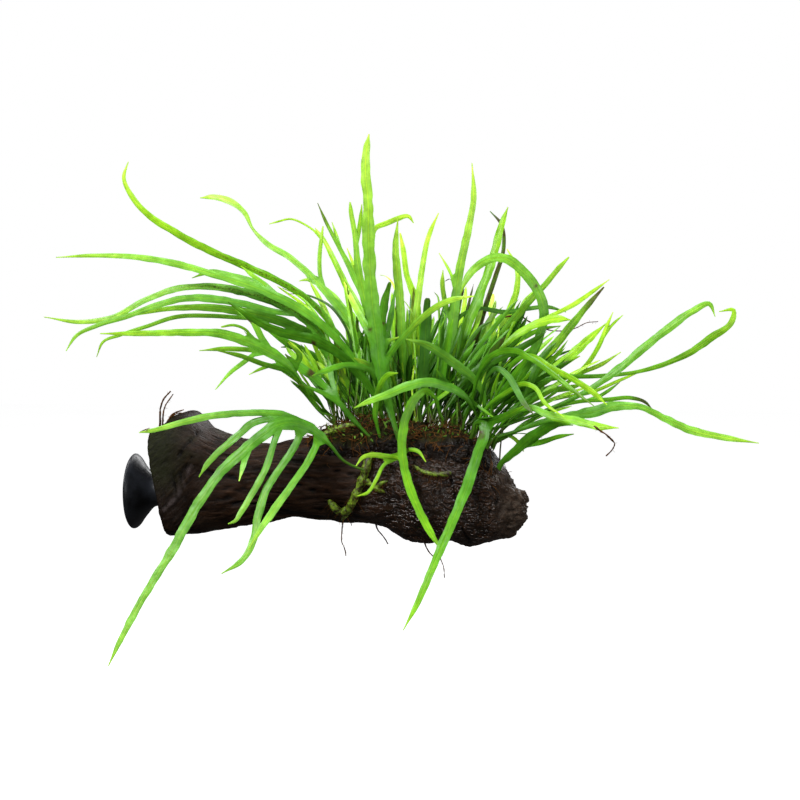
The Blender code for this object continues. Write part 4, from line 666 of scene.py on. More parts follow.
def grow(solids):
    """Every strap of every frond, with knots along it whose depths are still the planned ones."""
    straps = []
    for name, (root, tip_depth, tilt, route, lobes) in FRONDS.items():
        planted = plant_root(name, root, solids)
        stem = make_strap(name, (*((u, v, route[0][2]) for u, v, _ in planted), *route), tip_depth, tilt)
        stem.root_depth, stem.low_depth = planted[0][2], planted[-1][2]
        straps.append(stem)
        straps += [make_strap(name, path, tip, tilt, stem) for tip, path in lobes]
    for strap in straps:
        end = strap.rows[-1, 0]
        strap.knots = np.linspace(strap.start, end, max(4, round((end - strap.start) / KNOT_STEP) + 1))
        share = (strap.knots - strap.start) / (end - strap.start)
        if strap.parent is not None:
            _, _, half, _, _ = at_length(strap.parent, np.array([strap.fork]))
            at_fork = np.interp(strap.fork, strap.parent.knots, strap.parent.depths)
            strap.root_depth = float(at_fork + strap.side * half[0] * lean_of(strap.parent, strap.fork))
            strap.low_depth = strap.root_depth
        low = 0.0 if strap.root_depth == strap.low_depth else ROOT_RISE / (end - strap.start)
        plan = (strap.root_depth, strap.low_depth, strap.tip_depth)
        strap.depths = np.interp(share, (0, low, 1), plan) if low else np.interp(share, (0, 1), plan[1:])
    return straps


def close_pairs(places, reach):
    tree = KDTree(len(places))
    for k, (u, v) in enumerate(places):
        tree.insert((u, v, 0), k)
    tree.balance()
    pairs = []
    for k, (u, v) in enumerate(places):
        pairs += [(k, j) for _, j, _ in tree.find_range((u, v, 0), reach) if j > k]
    return np.array(pairs)


def settle(straps, solids):
    """Moves knots in depth only, so that the front view stays, until straps that cross are clear."""
    first = np.cumsum([0] + [len(s.knots) for s in straps])
    count = first[-1]
    depth = np.concatenate([s.depths for s in straps])
    planned = depth.copy()
    before, after, fixed = np.arange(count) - 1, np.arange(count) + 1, np.zeros(count, bool)
    index = {id(s): k for k, s in enumerate(straps)}
    tied, tied_to = [], []
    for k, s in enumerate(straps):
        after[first[k + 1] - 1] = first[k + 1] - 1
        before[first[k]] = first[k]
        if s.parent is None:
            fixed[first[k] : first[k + 1]] = s.knots <= ROOT_RISE
        else:
            at = index[id(s.parent)]
            before[first[k]] = first[at] + int(np.abs(s.parent.knots - s.fork).argmin())
            tied.append(first[k])
            tied_to.append(before[first[k]])

    owner, knot, places, offset, reach = [], [], [], [], []
    for k, s in enumerate(straps):
        u, v, half, nu, nv = at_length(s, s.knots)
        slope = lean_of(s, s.knots)
        for side in (-1, -0.5, 0, 0.5, 1):
            wide = np.full(len(s.knots), side == 0) | (half > (1.0 if abs(side) == 1 else 1.8))
            which = np.flatnonzero(wide)
            owner += [k] * len(which)
            knot += list(first[k] + which)
            places += list(zip((u + side * half * nu)[which], (v + side * half * nv)[which]))
            offset += list((side * half * slope)[which])
            reach += list((BALL[0] + BALL[1] * half)[which])
    owner, knot, offset, reach = (np.array(x) for x in (owner, knot, offset, reach))
    i, j = close_pairs(places, CLEARANCE + 2 * reach.max()).T
    places = np.array(places)
    apart = np.hypot(*(places[i] - places[j]).T)
    plant = np.array([s.frond for s in straps])
    kin = plant[:, None] == plant[None, :]
    need = CLEARANCE + (reach[i] + reach[j]) * np.where(kin[owner[i], owner[j]], KIN_SHARE, 1)
    along = np.concatenate([s.knots - s.start for s in straps])
    lobe = np.array([s.parent is not None for s in straps])
    young = (lobe[owner[i]] & (along[knot[i]] < YOUNG)) | (lobe[owner[j]] & (along[knot[j]] < YOUNG))
    keep = (apart < need) & (owner[i] != owner[j]) & ~(kin[owner[i], owner[j]] & young)
    i, j, apart, need = i[keep], j[keep], apart[keep], need[keep]
    step = np.sqrt(need**2 - apart**2)

    # One order of depth for each place where two straps cross
    a, b = owner[i], owner[j]
    order = np.lexsort((knot[i], b, a))
    i, j, step, a, b = i[order], j[order], step[order], a[order], b[order]
    new = np.ones(len(i), bool)
    new[1:] = (a[1:] != a[:-1]) | (b[1:] != b[:-1]) | (knot[i][1:] - knot[i][:-1] > 4)
    place = np.cumsum(new) - 1
    lead = np.bincount(place, (depth[knot[i]] + offset[i] - depth[knot[j]] - offset[j]) * step)
    sign = np.where(lead >= 0, 1, -1)[place]

    wall = np.full(len(owner), np.inf)
    for k, (u, v) in enumerate(places):
        s = straps[owner[k]]
        if s.frond in BEFORE_LOG and (lobe[owner[k]] or along[knot[k]] > ROOT_ALONG):
            face = face_depth(solids, u, v)
            wall[k] = np.inf if face is None else face - reach[k] - LOG_CLEARANCE
    for turn in range(SETTLE_ROUNDS):
        at = depth[knot] + offset
        short = np.maximum(step - sign * (at[i] - at[j]), 0)
        back, forth = np.zeros(count), np.zeros(count)
        for push, other, k in ((back, forth, i), (forth, back, j)):
            np.maximum.at(push, knot[k], np.where(sign > 0, short, 0))
            np.maximum.at(other, knot[k], np.where(sign < 0, short, 0))
        np.maximum.at(forth, knot, np.where(at > wall, 2 * (at - wall), 0))
        depth += 0.5 * (back - forth)
        moved = depth - planned
        soft = 0.5 if turn < SETTLE_ROUNDS - FIRM_ROUNDS else 0.2
        for _ in range(2):
            moved += soft * (0.5 * (moved[before] + moved[after]) - moved)
            moved[fixed] = 0
            moved[tied] = moved[tied_to]
        depth = planned + moved
    for k, s in enumerate(straps):
        s.depths = depth[first[k] : first[k + 1]]


def depth_at(strap, s):
    return np.interp(s, strap.knots, strap.depths)


# ---------------------------------------------------------------- looks: what each frond shows

# Tone from old and dark (0) to young and lime (1) at the blade's base and at its tip, and brown at the tip
LOOKS = {
    "low_left": (0.36, 0.68, 0), "droop_middle": (0.55, 0.62, 0), "droop_right": (0.26, 0.62, 0),
    "sprout": (0.72, 0.8, 0), "level_front": (0.24, 0.6, 0), "hook_left": (0.5, 0.6, 0),
    "arch_front": (0.4, 0.62, 0.5), "dark_tip": (0.35, 0.3, 0.9), "pale_arch": (0.62, 0.86, 0),
    "curl_middle": (0.5, 0.74, 0), "olive": (0.4, 0.5, 0), "front_left": (0.36, 0.5, 0.3),
    "tall_centre": (0.3, 0.9, 0), "dark_left": (0.22, 0.34, 0.5), "mid_left": (0.4, 0.72, 0),
    "far_left_top": (0.4, 0.82, 0), "far_left_upper": (0.38, 0.7, 0), "far_left_middle": (0.36, 0.72, 0),
    "far_left_lower": (0.38, 0.74, 0.1), "twisted": (0.46, 0.82, 0), "yellow_thin": (0.64, 0.86, 0),
    "needle": (0.45, 0.72, 0.6), "blunt_left": (0.5, 0.8, 0), "back_hook": (0.6, 0.95, 0),
    "lime": (0.5, 0.86, 0), "back_blunt": (0.6, 0.9, 0.2), "back_thin": (0.62, 0.92, 0),
    "tall_right": (0.34, 0.88, 0), "broad_dark": (0.14, 0.24, 0.3), "short_dark": (0.24, 0.42, 0),
    "broad_right": (0.36, 0.74, 0.2), "rolled_brown": (0.4, 0.4, 0.4), "arch_right": (0.44, 0.74, 0),
    "level_dark": (0.22, 0.5, 0), "blunt_right": (0.4, 0.82, 0), "back_right": (0.6, 0.9, 0),
    "far_right_top": (0.4, 0.66, 0), "far_right_arm": (0.4, 0.74, 0), "right_thin": (0.5, 0.8, 0),
    "right_brown_tip": (0.45, 0.5, 0.9), "far_right_low": (0.3, 0.72, 0), "right_pale": (0.46, 0.78, 0),
    "right_bright": (0.46, 0.78, 0), "right_forked": (0.46, 0.82, 0), "back_far_right": (0.5, 0.82, 0),
    "brown_tip": (0.6, 0.78, 1.0), "low_right": (0.36, 0.5, 0.2), "fork_right": (0.5, 0.84, 0),
    "rear_centre": (0.08, 0.2, 0), "rear_right": (0.08, 0.22, 0), "rear_far_right": (0.2, 0.5, 0),
    "rear_left": (0.24, 0.4, 0.2), "rear_low": (0.35, 0.66, 0.2),
}  # fmt: skip
# Blades of a cooler, mintier green, and how much
MINTY = {
    "low_left": 0.65, "hook_left": 0.5, "droop_right": 0.1, "level_front": 0.25, "tall_centre": 0.3,
    "level_dark": 0.5, "twisted": 0.5, "far_left_middle": 0.5, "far_right_top": 0.35, "far_right_low": 0.5,
    "lime": 0.4, "far_left_lower": 0.4, "arch_right": 0.3, "tall_right": 0.4, "blunt_left": 0.3,
    "needle": 0.4, "dark_tip": 0.5, "mid_left": 0.2, "far_left_upper": 0.4, "broad_dark": 0.5,
}  # fmt: skip
MINT = np.array((0.06, 0.045, 0.1))
# Blades with a brown dotted line along the middle
DOTTED = ("far_left_top", "rolled_brown", "far_left_middle")

# Brown blotches on the blades: the frond, the place in the front view, the radius in mm
MARKS = (
    ("droop_right", 240.3, 217.5, 2.2), ("mid_left", 125, 159.5, 1.8), ("front_left", 157, 171.5, 1.2),
    ("dark_left", 155.3, 186.5, 1.8), ("short_dark", 191.5, 162, 0.8), ("broad_dark", 213, 172, 0.9),
    ("arch_right", 268, 143, 1), ("tall_centre", 185, 165, 0.9), ("blunt_left", 188, 158, 1.2),
    ("low_left", 73, 214.8, 0.9),
)  # fmt: skip

# The blade's colours (linear) by tone
TONES = (0.0, 0.2, 0.4, 0.55, 0.7, 0.85, 1.0)
TONE_COLOURS = np.array(
    ((0.014, 0.055, 0.003), (0.043, 0.165, 0.006), (0.08, 0.29, 0.011), (0.125, 0.375, 0.014),
     (0.2, 0.48, 0.016), (0.325, 0.605, 0.028), (0.48, 0.76, 0.075))
)  # fmt: skip

STATION = 1.25  # mm between a blade's cross-sections
COLUMNS = np.linspace(-1, 1, 7)
BLADE_THICKNESS = 0.5
FULL_TIP = 0.55  # 0 for blades that taper straight to the tip, 1 for round tips
EDGE_THICKNESS = 0.12
SHARP_RIM = math.radians(42)  # the least angle of a blade's rim to its faces
# Fronds whose stalks stay bare and thin low down, and by how much
BARE_STALKS = (
    "far_left_top", "far_left_upper", "far_left_middle", "far_left_lower", "twisted", "rear_left", "mid_left",
    "dark_left", "yellow_thin", "needle", "blunt_left",
)
STALK_THINNING = 0.42
BARE_BELOW = 182  # v from which they thin, and the mm over which they do
BARE_OVER = 14
STALK_HALF = 0.7  # mm of half width up to which a lobe is a stalk
JITTER = 0.1  # how much the blade's width wanders, of its half width
RIPPLE = 0.11  # its edge's waves, the same way
FOLD = (0.06, 0.08)  # how far its middle stands forward, and how that varies from blade to blade
GROOVE = 0.16  # mm that the midrib lies back, and its half width of the blade's
GROOVE_WIDTH = 0.22
RIB = 0.12  # mm that the midrib is thicker
RIB_WIDTH = 0.3
STALK_SWELL = 0.9  # mm that a wide stalk is thicker at most
OLD_BROWN = 0.4  # tips browner than this are brown for a good way back

# Thin dead and living roots in the front view: (u, v, w), then a radius in mm
ROOTS = (
    (((172, 258, -4), (171, 265, -5), (171, 271, -6), (172.5, 275, -6), (173, 278, -5)), 0.4),
    (((174, 257, -4), (175, 260, -5), (175.8, 263, -5)), 0.3),
    (((187, 259, -2), (189, 265, -3), (192, 268.5, -4), (194, 272, -4)), 0.45),
    (((219, 268, -8), (220.5, 280, -9), (222, 284, -9), (222.2, 289, -8)), 0.4),
    (((211, 268, -6), (214, 275, -8), (217, 279, -9)), 0.45),
    (((80, 213, 12), (80.2, 205, 10), (81.6, 200, 9), (85.3, 195.6, 8)), 0.62),
    (((81.3, 213, 14), (82.2, 204, 14), (86.6, 197, 14)), 0.5),
    (((83, 212, 5), (86.5, 207, 4), (92, 204.8, 3)), 0.5),
    (((84, 210, 6), (89, 206.5, 6), (94, 207.2, 6)), 0.4),
    (((79, 216, 8), (74, 214.5, 6), (70, 216, 4)), 0.35),
    (((297, 213, -58), (301, 216, -60), (305, 219, -60), (307.3, 222, -58), (306, 225, -56),
      (303, 228, -54)), 0.5),
    (((252, 158.5, 20), (260, 158, 24), (265, 161, 28), (272, 164.5, 30), (280, 165.5, 32), (288, 164, 34),
      (293, 161.5, 34), (299, 160.8, 32)), 0.4),
)  # fmt: skip

# Deep cracks on the log's front, in the front view; the wood's colour paints them near black as painted shade
CRACKS = (
    ((95.8, 228.5), (92.9, 233.3), (90, 237.5), (86.3, 242.9), (82, 248.4)),
    ((101.7, 213.5), (97.5, 217.9), (91.7, 224.2), (89.5, 228)),
    ((226, 240), (227.5, 248), (229.5, 258)),
    ((229.5, 261), (232, 266), (235, 271)),
    ((246, 243), (249, 247.5), (248, 253)),
)  # fmt: skip
CRACK_WIDTH = 0.8
CRACK_DEPTH = 1.3
# A torn, paler edge beside the first crack
TORN_EDGE = ((95.4, 233), (92.5, 240), (89.6, 247), (86.3, 250.8), (81.5, 255.4))
GRAIN_BLOCK = 56  # mm along X where the sawn block's slanting grain ends
WRINKLES = 108  # mm along X where the grain gives way to wrinkles
WRINKLE_SCALE = (240, 400, 400)  # how close together the wrinkles are, per metre

# Small leaves between the named fronds, from the tip down: (u, v), then the tip's depth, half width in mm,
# tone at the base and at the tip, and how brown. Each goes on to a foot on the mat.
SMALL_LEAVES = (
    (((144, 147), (150, 147), (155, 148), (160, 150), (165, 153), (172, 162)), 22, 0.7, 0.15, 0.3, 0),
    (((138.5, 143), (145, 147.5), (152, 152.5), (160, 161)), 30, 0.9, 0.6, 0.9, 0),
    (((141, 144), (147, 146.5), (154, 152), (161, 162)), 26, 0.7, 0.5, 0.85, 0),
    (((153.5, 149), (153.5, 155), (156, 163), (161, 171), (168, 184)), 24, 1.3, 0.6, 0.92, 0),
    (((155, 141), (158.5, 147), (162, 154), (167, 166)), 26, 1.5, 0.6, 0.95, 0),
    (((148, 150), (153, 156), (159, 163), (167, 176)), 10, 1.2, 0.7, 0.95, 0),
    (((222, 158), (219.5, 160), (217, 165), (214, 174)), 14, 1.0, 0.05, 0.2, 0),
    (((217, 155), (220.5, 155.5), (222.5, 158), (221, 163), (216, 172)), 10, 0.4, 0.4, 0.5, 0),
    (((190, 137.5), (193.5, 138.5), (196.5, 142), (199, 150), (200, 162)), 26, 0.7, 0.6, 0.9, 0),
    (((200, 149), (203, 151.5), (206, 157), (207, 168)), 18, 0.5, 0.5, 0.7, 0.2),
    (((206.5, 176), (206.8, 184), (206, 193)), 4, 0.5, 0.7, 0.9, 0),
    (((195, 176), (198, 181), (201.5, 187), (203, 195)), -2, 0.3, 0.2, 0.2, 1),
    (((248, 160), (249.3, 165), (248.5, 171), (246, 177), (242, 188)), 6, 0.6, 0.7, 0.85, 0),
    (((269.5, 143.5), (266, 146.5), (262, 150.5), (259, 157), (254, 168)), 30, 0.8, 0.6, 0.85, 0),
    (((254, 163), (252.5, 168), (250, 173), (245, 183)), 12, 1.7, 0.6, 0.8, 0.35),
    (((264, 160.5), (259, 161.5), (254, 165), (246, 174)), 16, 0.9, 0.3, 0.45, 0.1),
    (((246, 160.5), (241, 163), (237.5, 167), (234, 173), (230, 184)), 6, 1.2, 0.02, 0.1, 0.1),
    (((246, 171), (240, 171.5), (235, 173.5), (230, 180)), 2, 0.5, 0.05, 0.2, 0.2),
    (((222, 141), (225, 139.5), (227, 143), (227, 152), (224, 165)), 20, 0.6, 0.3, 0.4, 0.9),
    (((217, 146), (219, 148.5), (219.5, 156)), 12, 0.6, 0.4, 0.5, 0.6),
    (((122, 165.5), (124, 167.5), (128, 169.5), (134, 174), (143, 184)), -4, 0.9, 0.4, 0.6, 0),
    (((136, 182), (143, 186), (150, 191), (158, 199)), 6, 1.3, 0.3, 0.6, 0),
    (((145, 190), (151, 195), (157, 202), (163, 209)), 10, 1.0, 0.3, 0.5, 0),
    (((152, 172), (156, 180), (160, 190), (165, 202)), 8, 1.2, 0.3, 0.8, 0),
    (((172, 141), (174, 150), (176, 162), (179, 178)), 22, 1.5, 0.6, 0.92, 0),
    (((187, 158), (187.5, 168), (188, 180), (188, 194)), 16, 1.5, 0.6, 0.95, 0.1),
    (((196, 146), (196.5, 158), (197, 172), (196, 188)), 24, 1.5, 0.4, 0.8, 0),
    (((214, 168), (213, 176), (211, 186), (209, 198)), 12, 1.8, 0.05, 0.25, 0),
    (((227, 160), (224, 170), (220, 182), (216, 196)), 18, 2.0, 0.1, 0.35, 0),
    (((236, 176), (231, 184), (225, 194), (219, 204)), 6, 1.9, 0.05, 0.25, 0),
    (((252, 178), (246, 185), (238, 194), (229, 205)), 8, 1.8, 0.05, 0.3, 0),
    (((262, 172), (256, 180), (248, 190), (238, 203)), 12, 1.7, 0.15, 0.5, 0),
    (((277, 168), (268, 176), (258, 187), (245, 202)), 18, 1.5, 0.2, 0.75, 0),
    (((290, 173), (280, 180), (268, 190), (253, 205)), 24, 1.4, 0.3, 0.85, 0),
    (((300, 180), (288, 186), (274, 195), (257, 208)), 20, 1.4, 0.3, 0.85, 0),
    (((296, 193), (283, 197), (269, 203), (255, 212)), 16, 1.3, 0.3, 0.8, 0),
    (((286, 203), (275, 206), (264, 211), (253, 219)), 12, 1.3, 0.3, 0.8, 0),
    (((262, 226), (259, 221), (255, 218), (249, 217)), 8, 1.1, 0.6, 0.85, 0),
    (((271, 219), (264, 217), (257, 217), (250, 219)), 10, 1.0, 0.4, 0.75, 0),
    (((248, 150), (246, 158), (242, 168), (236, 182)), 26, 1.5, 0.4, 0.85, 0.1),
    (((241, 147), (240, 156), (236, 168), (230, 184)), 20, 1.6, 0.4, 0.75, 0),
    (((233, 143), (232, 154), (229, 168), (224, 184)), 30, 1.5, 0.4, 0.8, 0),
    (((217, 158), (215, 168), (212, 180), (209, 194)), 28, 1.5, 0.3, 0.7, 0),
    (((205, 160), (206, 170), (206, 182), (205, 194)), 30, 1.6, 0.1, 0.4, 0),
    (((181, 146), (183, 156), (185, 168), (188, 184)), 28, 1.4, 0.3, 0.8, 0),
)  # fmt: skip
# Where the clump of leaves is dense in the front view; the leaves between the named fronds stay inside
CLUMP = (
    (167, 214), (163, 204), (157, 193), (149, 182), (140, 171), (145, 162), (153, 156), (163, 150),
    (171, 138), (176, 131), (186, 131), (196, 145), (201, 131), (206, 142), (213, 150), (222, 137),
    (232, 131), (245, 138), (250, 133), (258, 140), (268, 152), (278, 160), (287, 168), (290, 182),
    (284, 195), (273, 205), (263, 215), (254, 223), (248, 219), (240, 216), (215, 213), (190, 215),
    (170, 216),
)  # fmt: skip
FILL_LEAVES = 220
FILL_TRIES = 14 * FILL_LEAVES
FILL_THICKNESS = 0.28
FEET = (168, 244)  # the u where small leaves with a route may stand
MAT_FEET = (97, 186)  # and the x of those placed at random
FOOT_ANGLES = (0.75, 1.95)
FILL_LENGTHS = (34, 88)
FILL_MIDDLE = 140  # x that they lean away from, and mm from it to the mat's end
FILL_HALF = 46
PALE_SIDE = 178  # those whose tips are left of this u are paler

TINY = 1e-12  # keeps a zero length from dividing
LOG_ANGLES = 290
LOG_SLICE = 0.72  # mm between the fine log's rings
END_RINGS = 16
END_BULGE = 2.6  # mm that the broken end swells out

PAD_SLICE = 0.9
PAD_ANGLES = 86
HAIRS = 1500
TUFTS = 700
KNOT_ROOTS = 70  # short tangled roots at the mat's left end
KNOT_AREA = ((160, 184), (214, 219))  # where they start: u from and to, v from and to
CREEPING_ROOTS = 46  # thin roots that follow the wood down
CREEP_AREA = ((160, 244), (212, 224))
MAT_FRONT = 219  # v where the mat begins to thin out over the wood
MAT_FRONT_DEPTH = 20  # and the w behind which it doesn't
RANDOM_SEED = 7
SHINE_THROUGH = 0.3  # how much of a leaf's light passes through it


# ---------------------------------------------------------------- small tools


def unit(vector):
    return vector / np.linalg.norm(vector)


def units(vectors, least=0.0):
    return vectors / (np.linalg.norm(vectors, axis=-1)[..., None] + least)


def value_noise(p, seed=0):
    """Smooth noise from -1 to 1 at rows of three numbers."""
    p = np.asarray(p, float)
    cell = np.floor(p).astype(np.int64)
    f = p - cell
    f = f * f * (3 - 2 * f)
    total = np.zeros(p.shape[:-1])
    for corner in np.ndindex(2, 2, 2):
        c = cell + corner
        h = c[..., 0] * 374761393 + c[..., 1] * 668265263 + c[..., 2] * 1442695041 + seed * 974711
        h = (h ^ (h >> 13)) * 1274126177
        h = ((h ^ (h >> 16)) & 0xFFFFFF) / 0x7FFFFF - 1
        weight = np.prod(np.where(corner, f, 1 - f), axis=-1)
        total += weight * h
    return total


def ridges(p, seed):
    """Noise with sharp crests of 1 on rounded valleys."""
    return 1 - 2 * np.abs(value_noise(p, seed))


def layered_noise(p, layers=3, seed=0):
    p = np.asarray(p, float)
    return sum(value_noise(p * 2**k, seed + k) / 2**k for k in range(layers))


def make_mesh(name, points, faces, mat, slot, node=None, colours=None, uv=None, extra=None, sharp=None):
    """A mesh piece that rides on the root. Points are in metres. Edges over the angle sharp stay sharp."""
    mesh = bpy.data.meshes.new(name)
    mesh.from_pydata(np.asarray(points).tolist(), [], faces)
    mesh.shade_smooth()
    if colours is not None:
        layer = mesh.color_attributes.new("tone", "FLOAT_COLOR", "POINT")
        layer.data.foreach_set("color", np.column_stack([colours, np.ones(len(colours))]).ravel())
    for key, values in (extra or {}).items():
        layer = mesh.attributes.new(key, "FLOAT", "POINT")
        layer.data.foreach_set("value", np.asarray(values, float))
    if uv is not None:
        layer = mesh.uv_layers.new(name="blade")
        corner = np.zeros(len(mesh.loops), np.int32)
        mesh.loops.foreach_get("vertex_index", corner)
        layer.data.foreach_set("uv", np.asarray(uv, float)[corner].ravel())
    bm = bmesh.new()
    bm.from_mesh(mesh)
    bmesh.ops.recalc_face_normals(bm, faces=bm.faces)
    if sharp:
        for edge in bm.edges:
            edge.smooth = edge.calc_face_angle(0) < sharp
    bm.to_mesh(mesh)
    bm.free()
    mesh.materials.append(mat)
    obj = bpy.data.objects.new(name, mesh)
    bpy.context.scene.collection.objects.link(obj)
    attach(obj, "root")
    if node:
        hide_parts(node)


def tube_rings(path, radii, sides):
    """Points and faces of a tube along path; points in the path's own unit."""
    path = np.asarray(path, float)
    radii = np.broadcast_to(radii, (len(path),))
    run = units(np.gradient(path, axis=0), TINY)
    side = units(np.cross(run, np.eye(3)[np.abs(run.mean(0)).argmin()]), TINY)
    other = np.cross(run, side)
    turn = np.linspace(0, 2 * np.pi, sides, endpoint=False)
    ring = np.cos(turn)[None, :, None] * side[:, None] + np.sin(turn)[None, :, None] * other[:, None]
    return (path[:, None] + ring * radii[:, None, None]).reshape(-1, 3), tube_faces(len(path), sides)


def root_tube(path, thick, thin, sides):
    """A tapering tube along path; path and both radii in mm."""
    return tube_rings(path * MM, np.linspace(thick, thin, len(path)) * MM, sides)


def grid_faces(rows, cols, wrap=False, first=0):
    out = []
    for low in range(first, first + (rows - 1) * cols, cols):
        for j in range(cols if wrap else cols - 1):
            k = (j + 1) % cols
            out.append((low + j, low + k, low + cols + k, low + cols + j))
    return out


def tube_faces(rings, sides):
    """The faces round a tube's rings, and a cap at each end."""
    last = (rings - 1) * sides
    caps = [tuple(range(sides))[::-1], tuple(range(last, last + sides))]
    return grid_faces(rings, sides, wrap=True) + caps


def two_sided(faces, total):
    """A sheet's faces, and the same faces turned over on a second set of total points."""
    return faces + [tuple(i + total for i in f[::-1]) for f in faces]


def rim_face(a, b, total):
    return a, b, b + total, a + total


def lengths(points):
    return summed(np.linalg.norm(np.diff(points, axis=0), axis=1))


def spline(points, step):
    """Points close together on a smooth curve through rows of three numbers."""
    p = np.asarray(points, float)
    if len(p) < 3:
        n = max(2, int(np.linalg.norm(p[-1] - p[0]) / step) + 1)
        return p[0] + (p[-1] - p[0]) * np.linspace(0, 1, n)[:, None]
    t = lengths(p)
    return through(p, t, np.gradient(p, t, axis=0), np.linspace(0, t[-1], max(4, int(t[-1] / step) + 1)))[0]


def joined(shapes):
    """Many (points, faces) as one."""
    points, faces, first = [], [], 0
    for p, f in shapes:
        points.append(p)
        faces += [tuple(first + i for i in face) for face in f]
        first += len(p)
    return np.vstack(points), faces


# ---------------------------------------------------------------- materials


class Nodes:
    """Builds a material's node tree in short lines."""

    def __init__(self, name):
        self.mat = bpy.data.materials.new(name)
        self.mat.use_nodes = True
        self.tree = self.mat.node_tree
        self.shader = self.tree.nodes["Principled BSDF"]
        self.output = self.tree.nodes["Material Output"]

    def new(self, kind, **values):
        node = self.tree.nodes.new(kind)
        for key, value in values.items():
            setattr(node, key, value)
        return node

    def link(self, a, b):
        self.tree.links.new(a, b)

    def put(self, value, socket):
        """Gives a socket its value: a number, a colour, or what another node puts out."""
        if isinstance(value, (int, float)):
            socket.default_value = value
        elif isinstance(value, tuple):
            socket.default_value = (*value, 1)
        else:
            self.link(value, socket)

    def set(self, **values):
        for key, value in values.items():
            self.put(value, self.shader.inputs[key.replace("_", " ")])

    def attribute(self, name, output="Fac"):
        return self.new("ShaderNodeAttribute", attribute_name=name).outputs[output]

    def place(self, scale=(1, 1, 1), turn=0.0):
        """Object coordinates turned about Y, then scaled."""
        coords = self.new("ShaderNodeTexCoord").outputs["Object"]
        mapping = self.new("ShaderNodeMapping", vector_type="TEXTURE")
        mapping.inputs["Rotation"].default_value = (0, turn, 0)
        mapping.inputs["Scale"].default_value = [1 / k for k in scale]
        self.link(coords, mapping.inputs["Vector"])
        return mapping.outputs["Vector"]

    def noise(self, vector, scale, detail=3, rough=0.5, warp=0.0):
        node = self.new("ShaderNodeTexNoise")
        node.inputs["Scale"].default_value = scale
        node.inputs["Detail"].default_value = detail
        node.inputs["Roughness"].default_value = rough
        node.inputs["Distortion"].default_value = warp
        self.link(vector, node.inputs["Vector"])
        return node.outputs["Fac"]

    def ramp(self, fac, stops):
        node = self.new("ShaderNodeValToRGB")
        while len(node.color_ramp.elements) < len(stops):
            node.color_ramp.elements.new(0.5)
        for element, (at, colour) in zip(node.color_ramp.elements, stops):
            element.position = at
            element.color = (*(colour if len(colour) == 3 else colour * 3), 1)
        self.link(fac, node.inputs["Fac"])
        return node.outputs["Color"]

    def span(self, fac, low, high, to_low=0.0, to_high=1.0):
        node = self.new("ShaderNodeMapRange", clamp=True)
        for key, value in (("From Min", low), ("From Max", high), ("To Min", to_low), ("To Max", to_high)):
            node.inputs[key].default_value = value
        self.link(fac, node.inputs["Value"])
        return node.outputs["Result"]

    def math(self, kind, *values):
        node = self.new("ShaderNodeMath", operation=kind)
        for value, socket in zip(values, node.inputs):
            self.put(value, socket)
        return node.outputs["Value"]

    def times(self, a, b):
        return self.math("MULTIPLY", a, b)

    def mix(self, fac, a, b, blend="MIX"):
        """The Mix node has sockets of the same name for each data type, so its colour ones go by type."""
        node = self.new("ShaderNodeMix", data_type="RGBA", blend_type=blend)
        colours = [s for s in node.inputs if s.type == "RGBA"]
        for value, socket in zip((fac, a, b), (node.inputs[0], *colours)):
            self.put(value, socket)
        return next(s for s in node.outputs if s.type == "RGBA")

    def layers(self, colour, *layers, blend="MIX"):
        """The colour under layers, each as (how much of it, its colour)."""
        for fac, layer in layers:
            colour = self.mix(fac, colour, layer, blend)
        return colour

    def bump(self, height, strength, distance):
        node = self.new("ShaderNodeBump")
        node.inputs["Strength"].default_value = strength
        node.inputs["Distance"].default_value = distance
        self.link(height, node.inputs["Height"])
        self.set(Normal=node.outputs["Normal"])


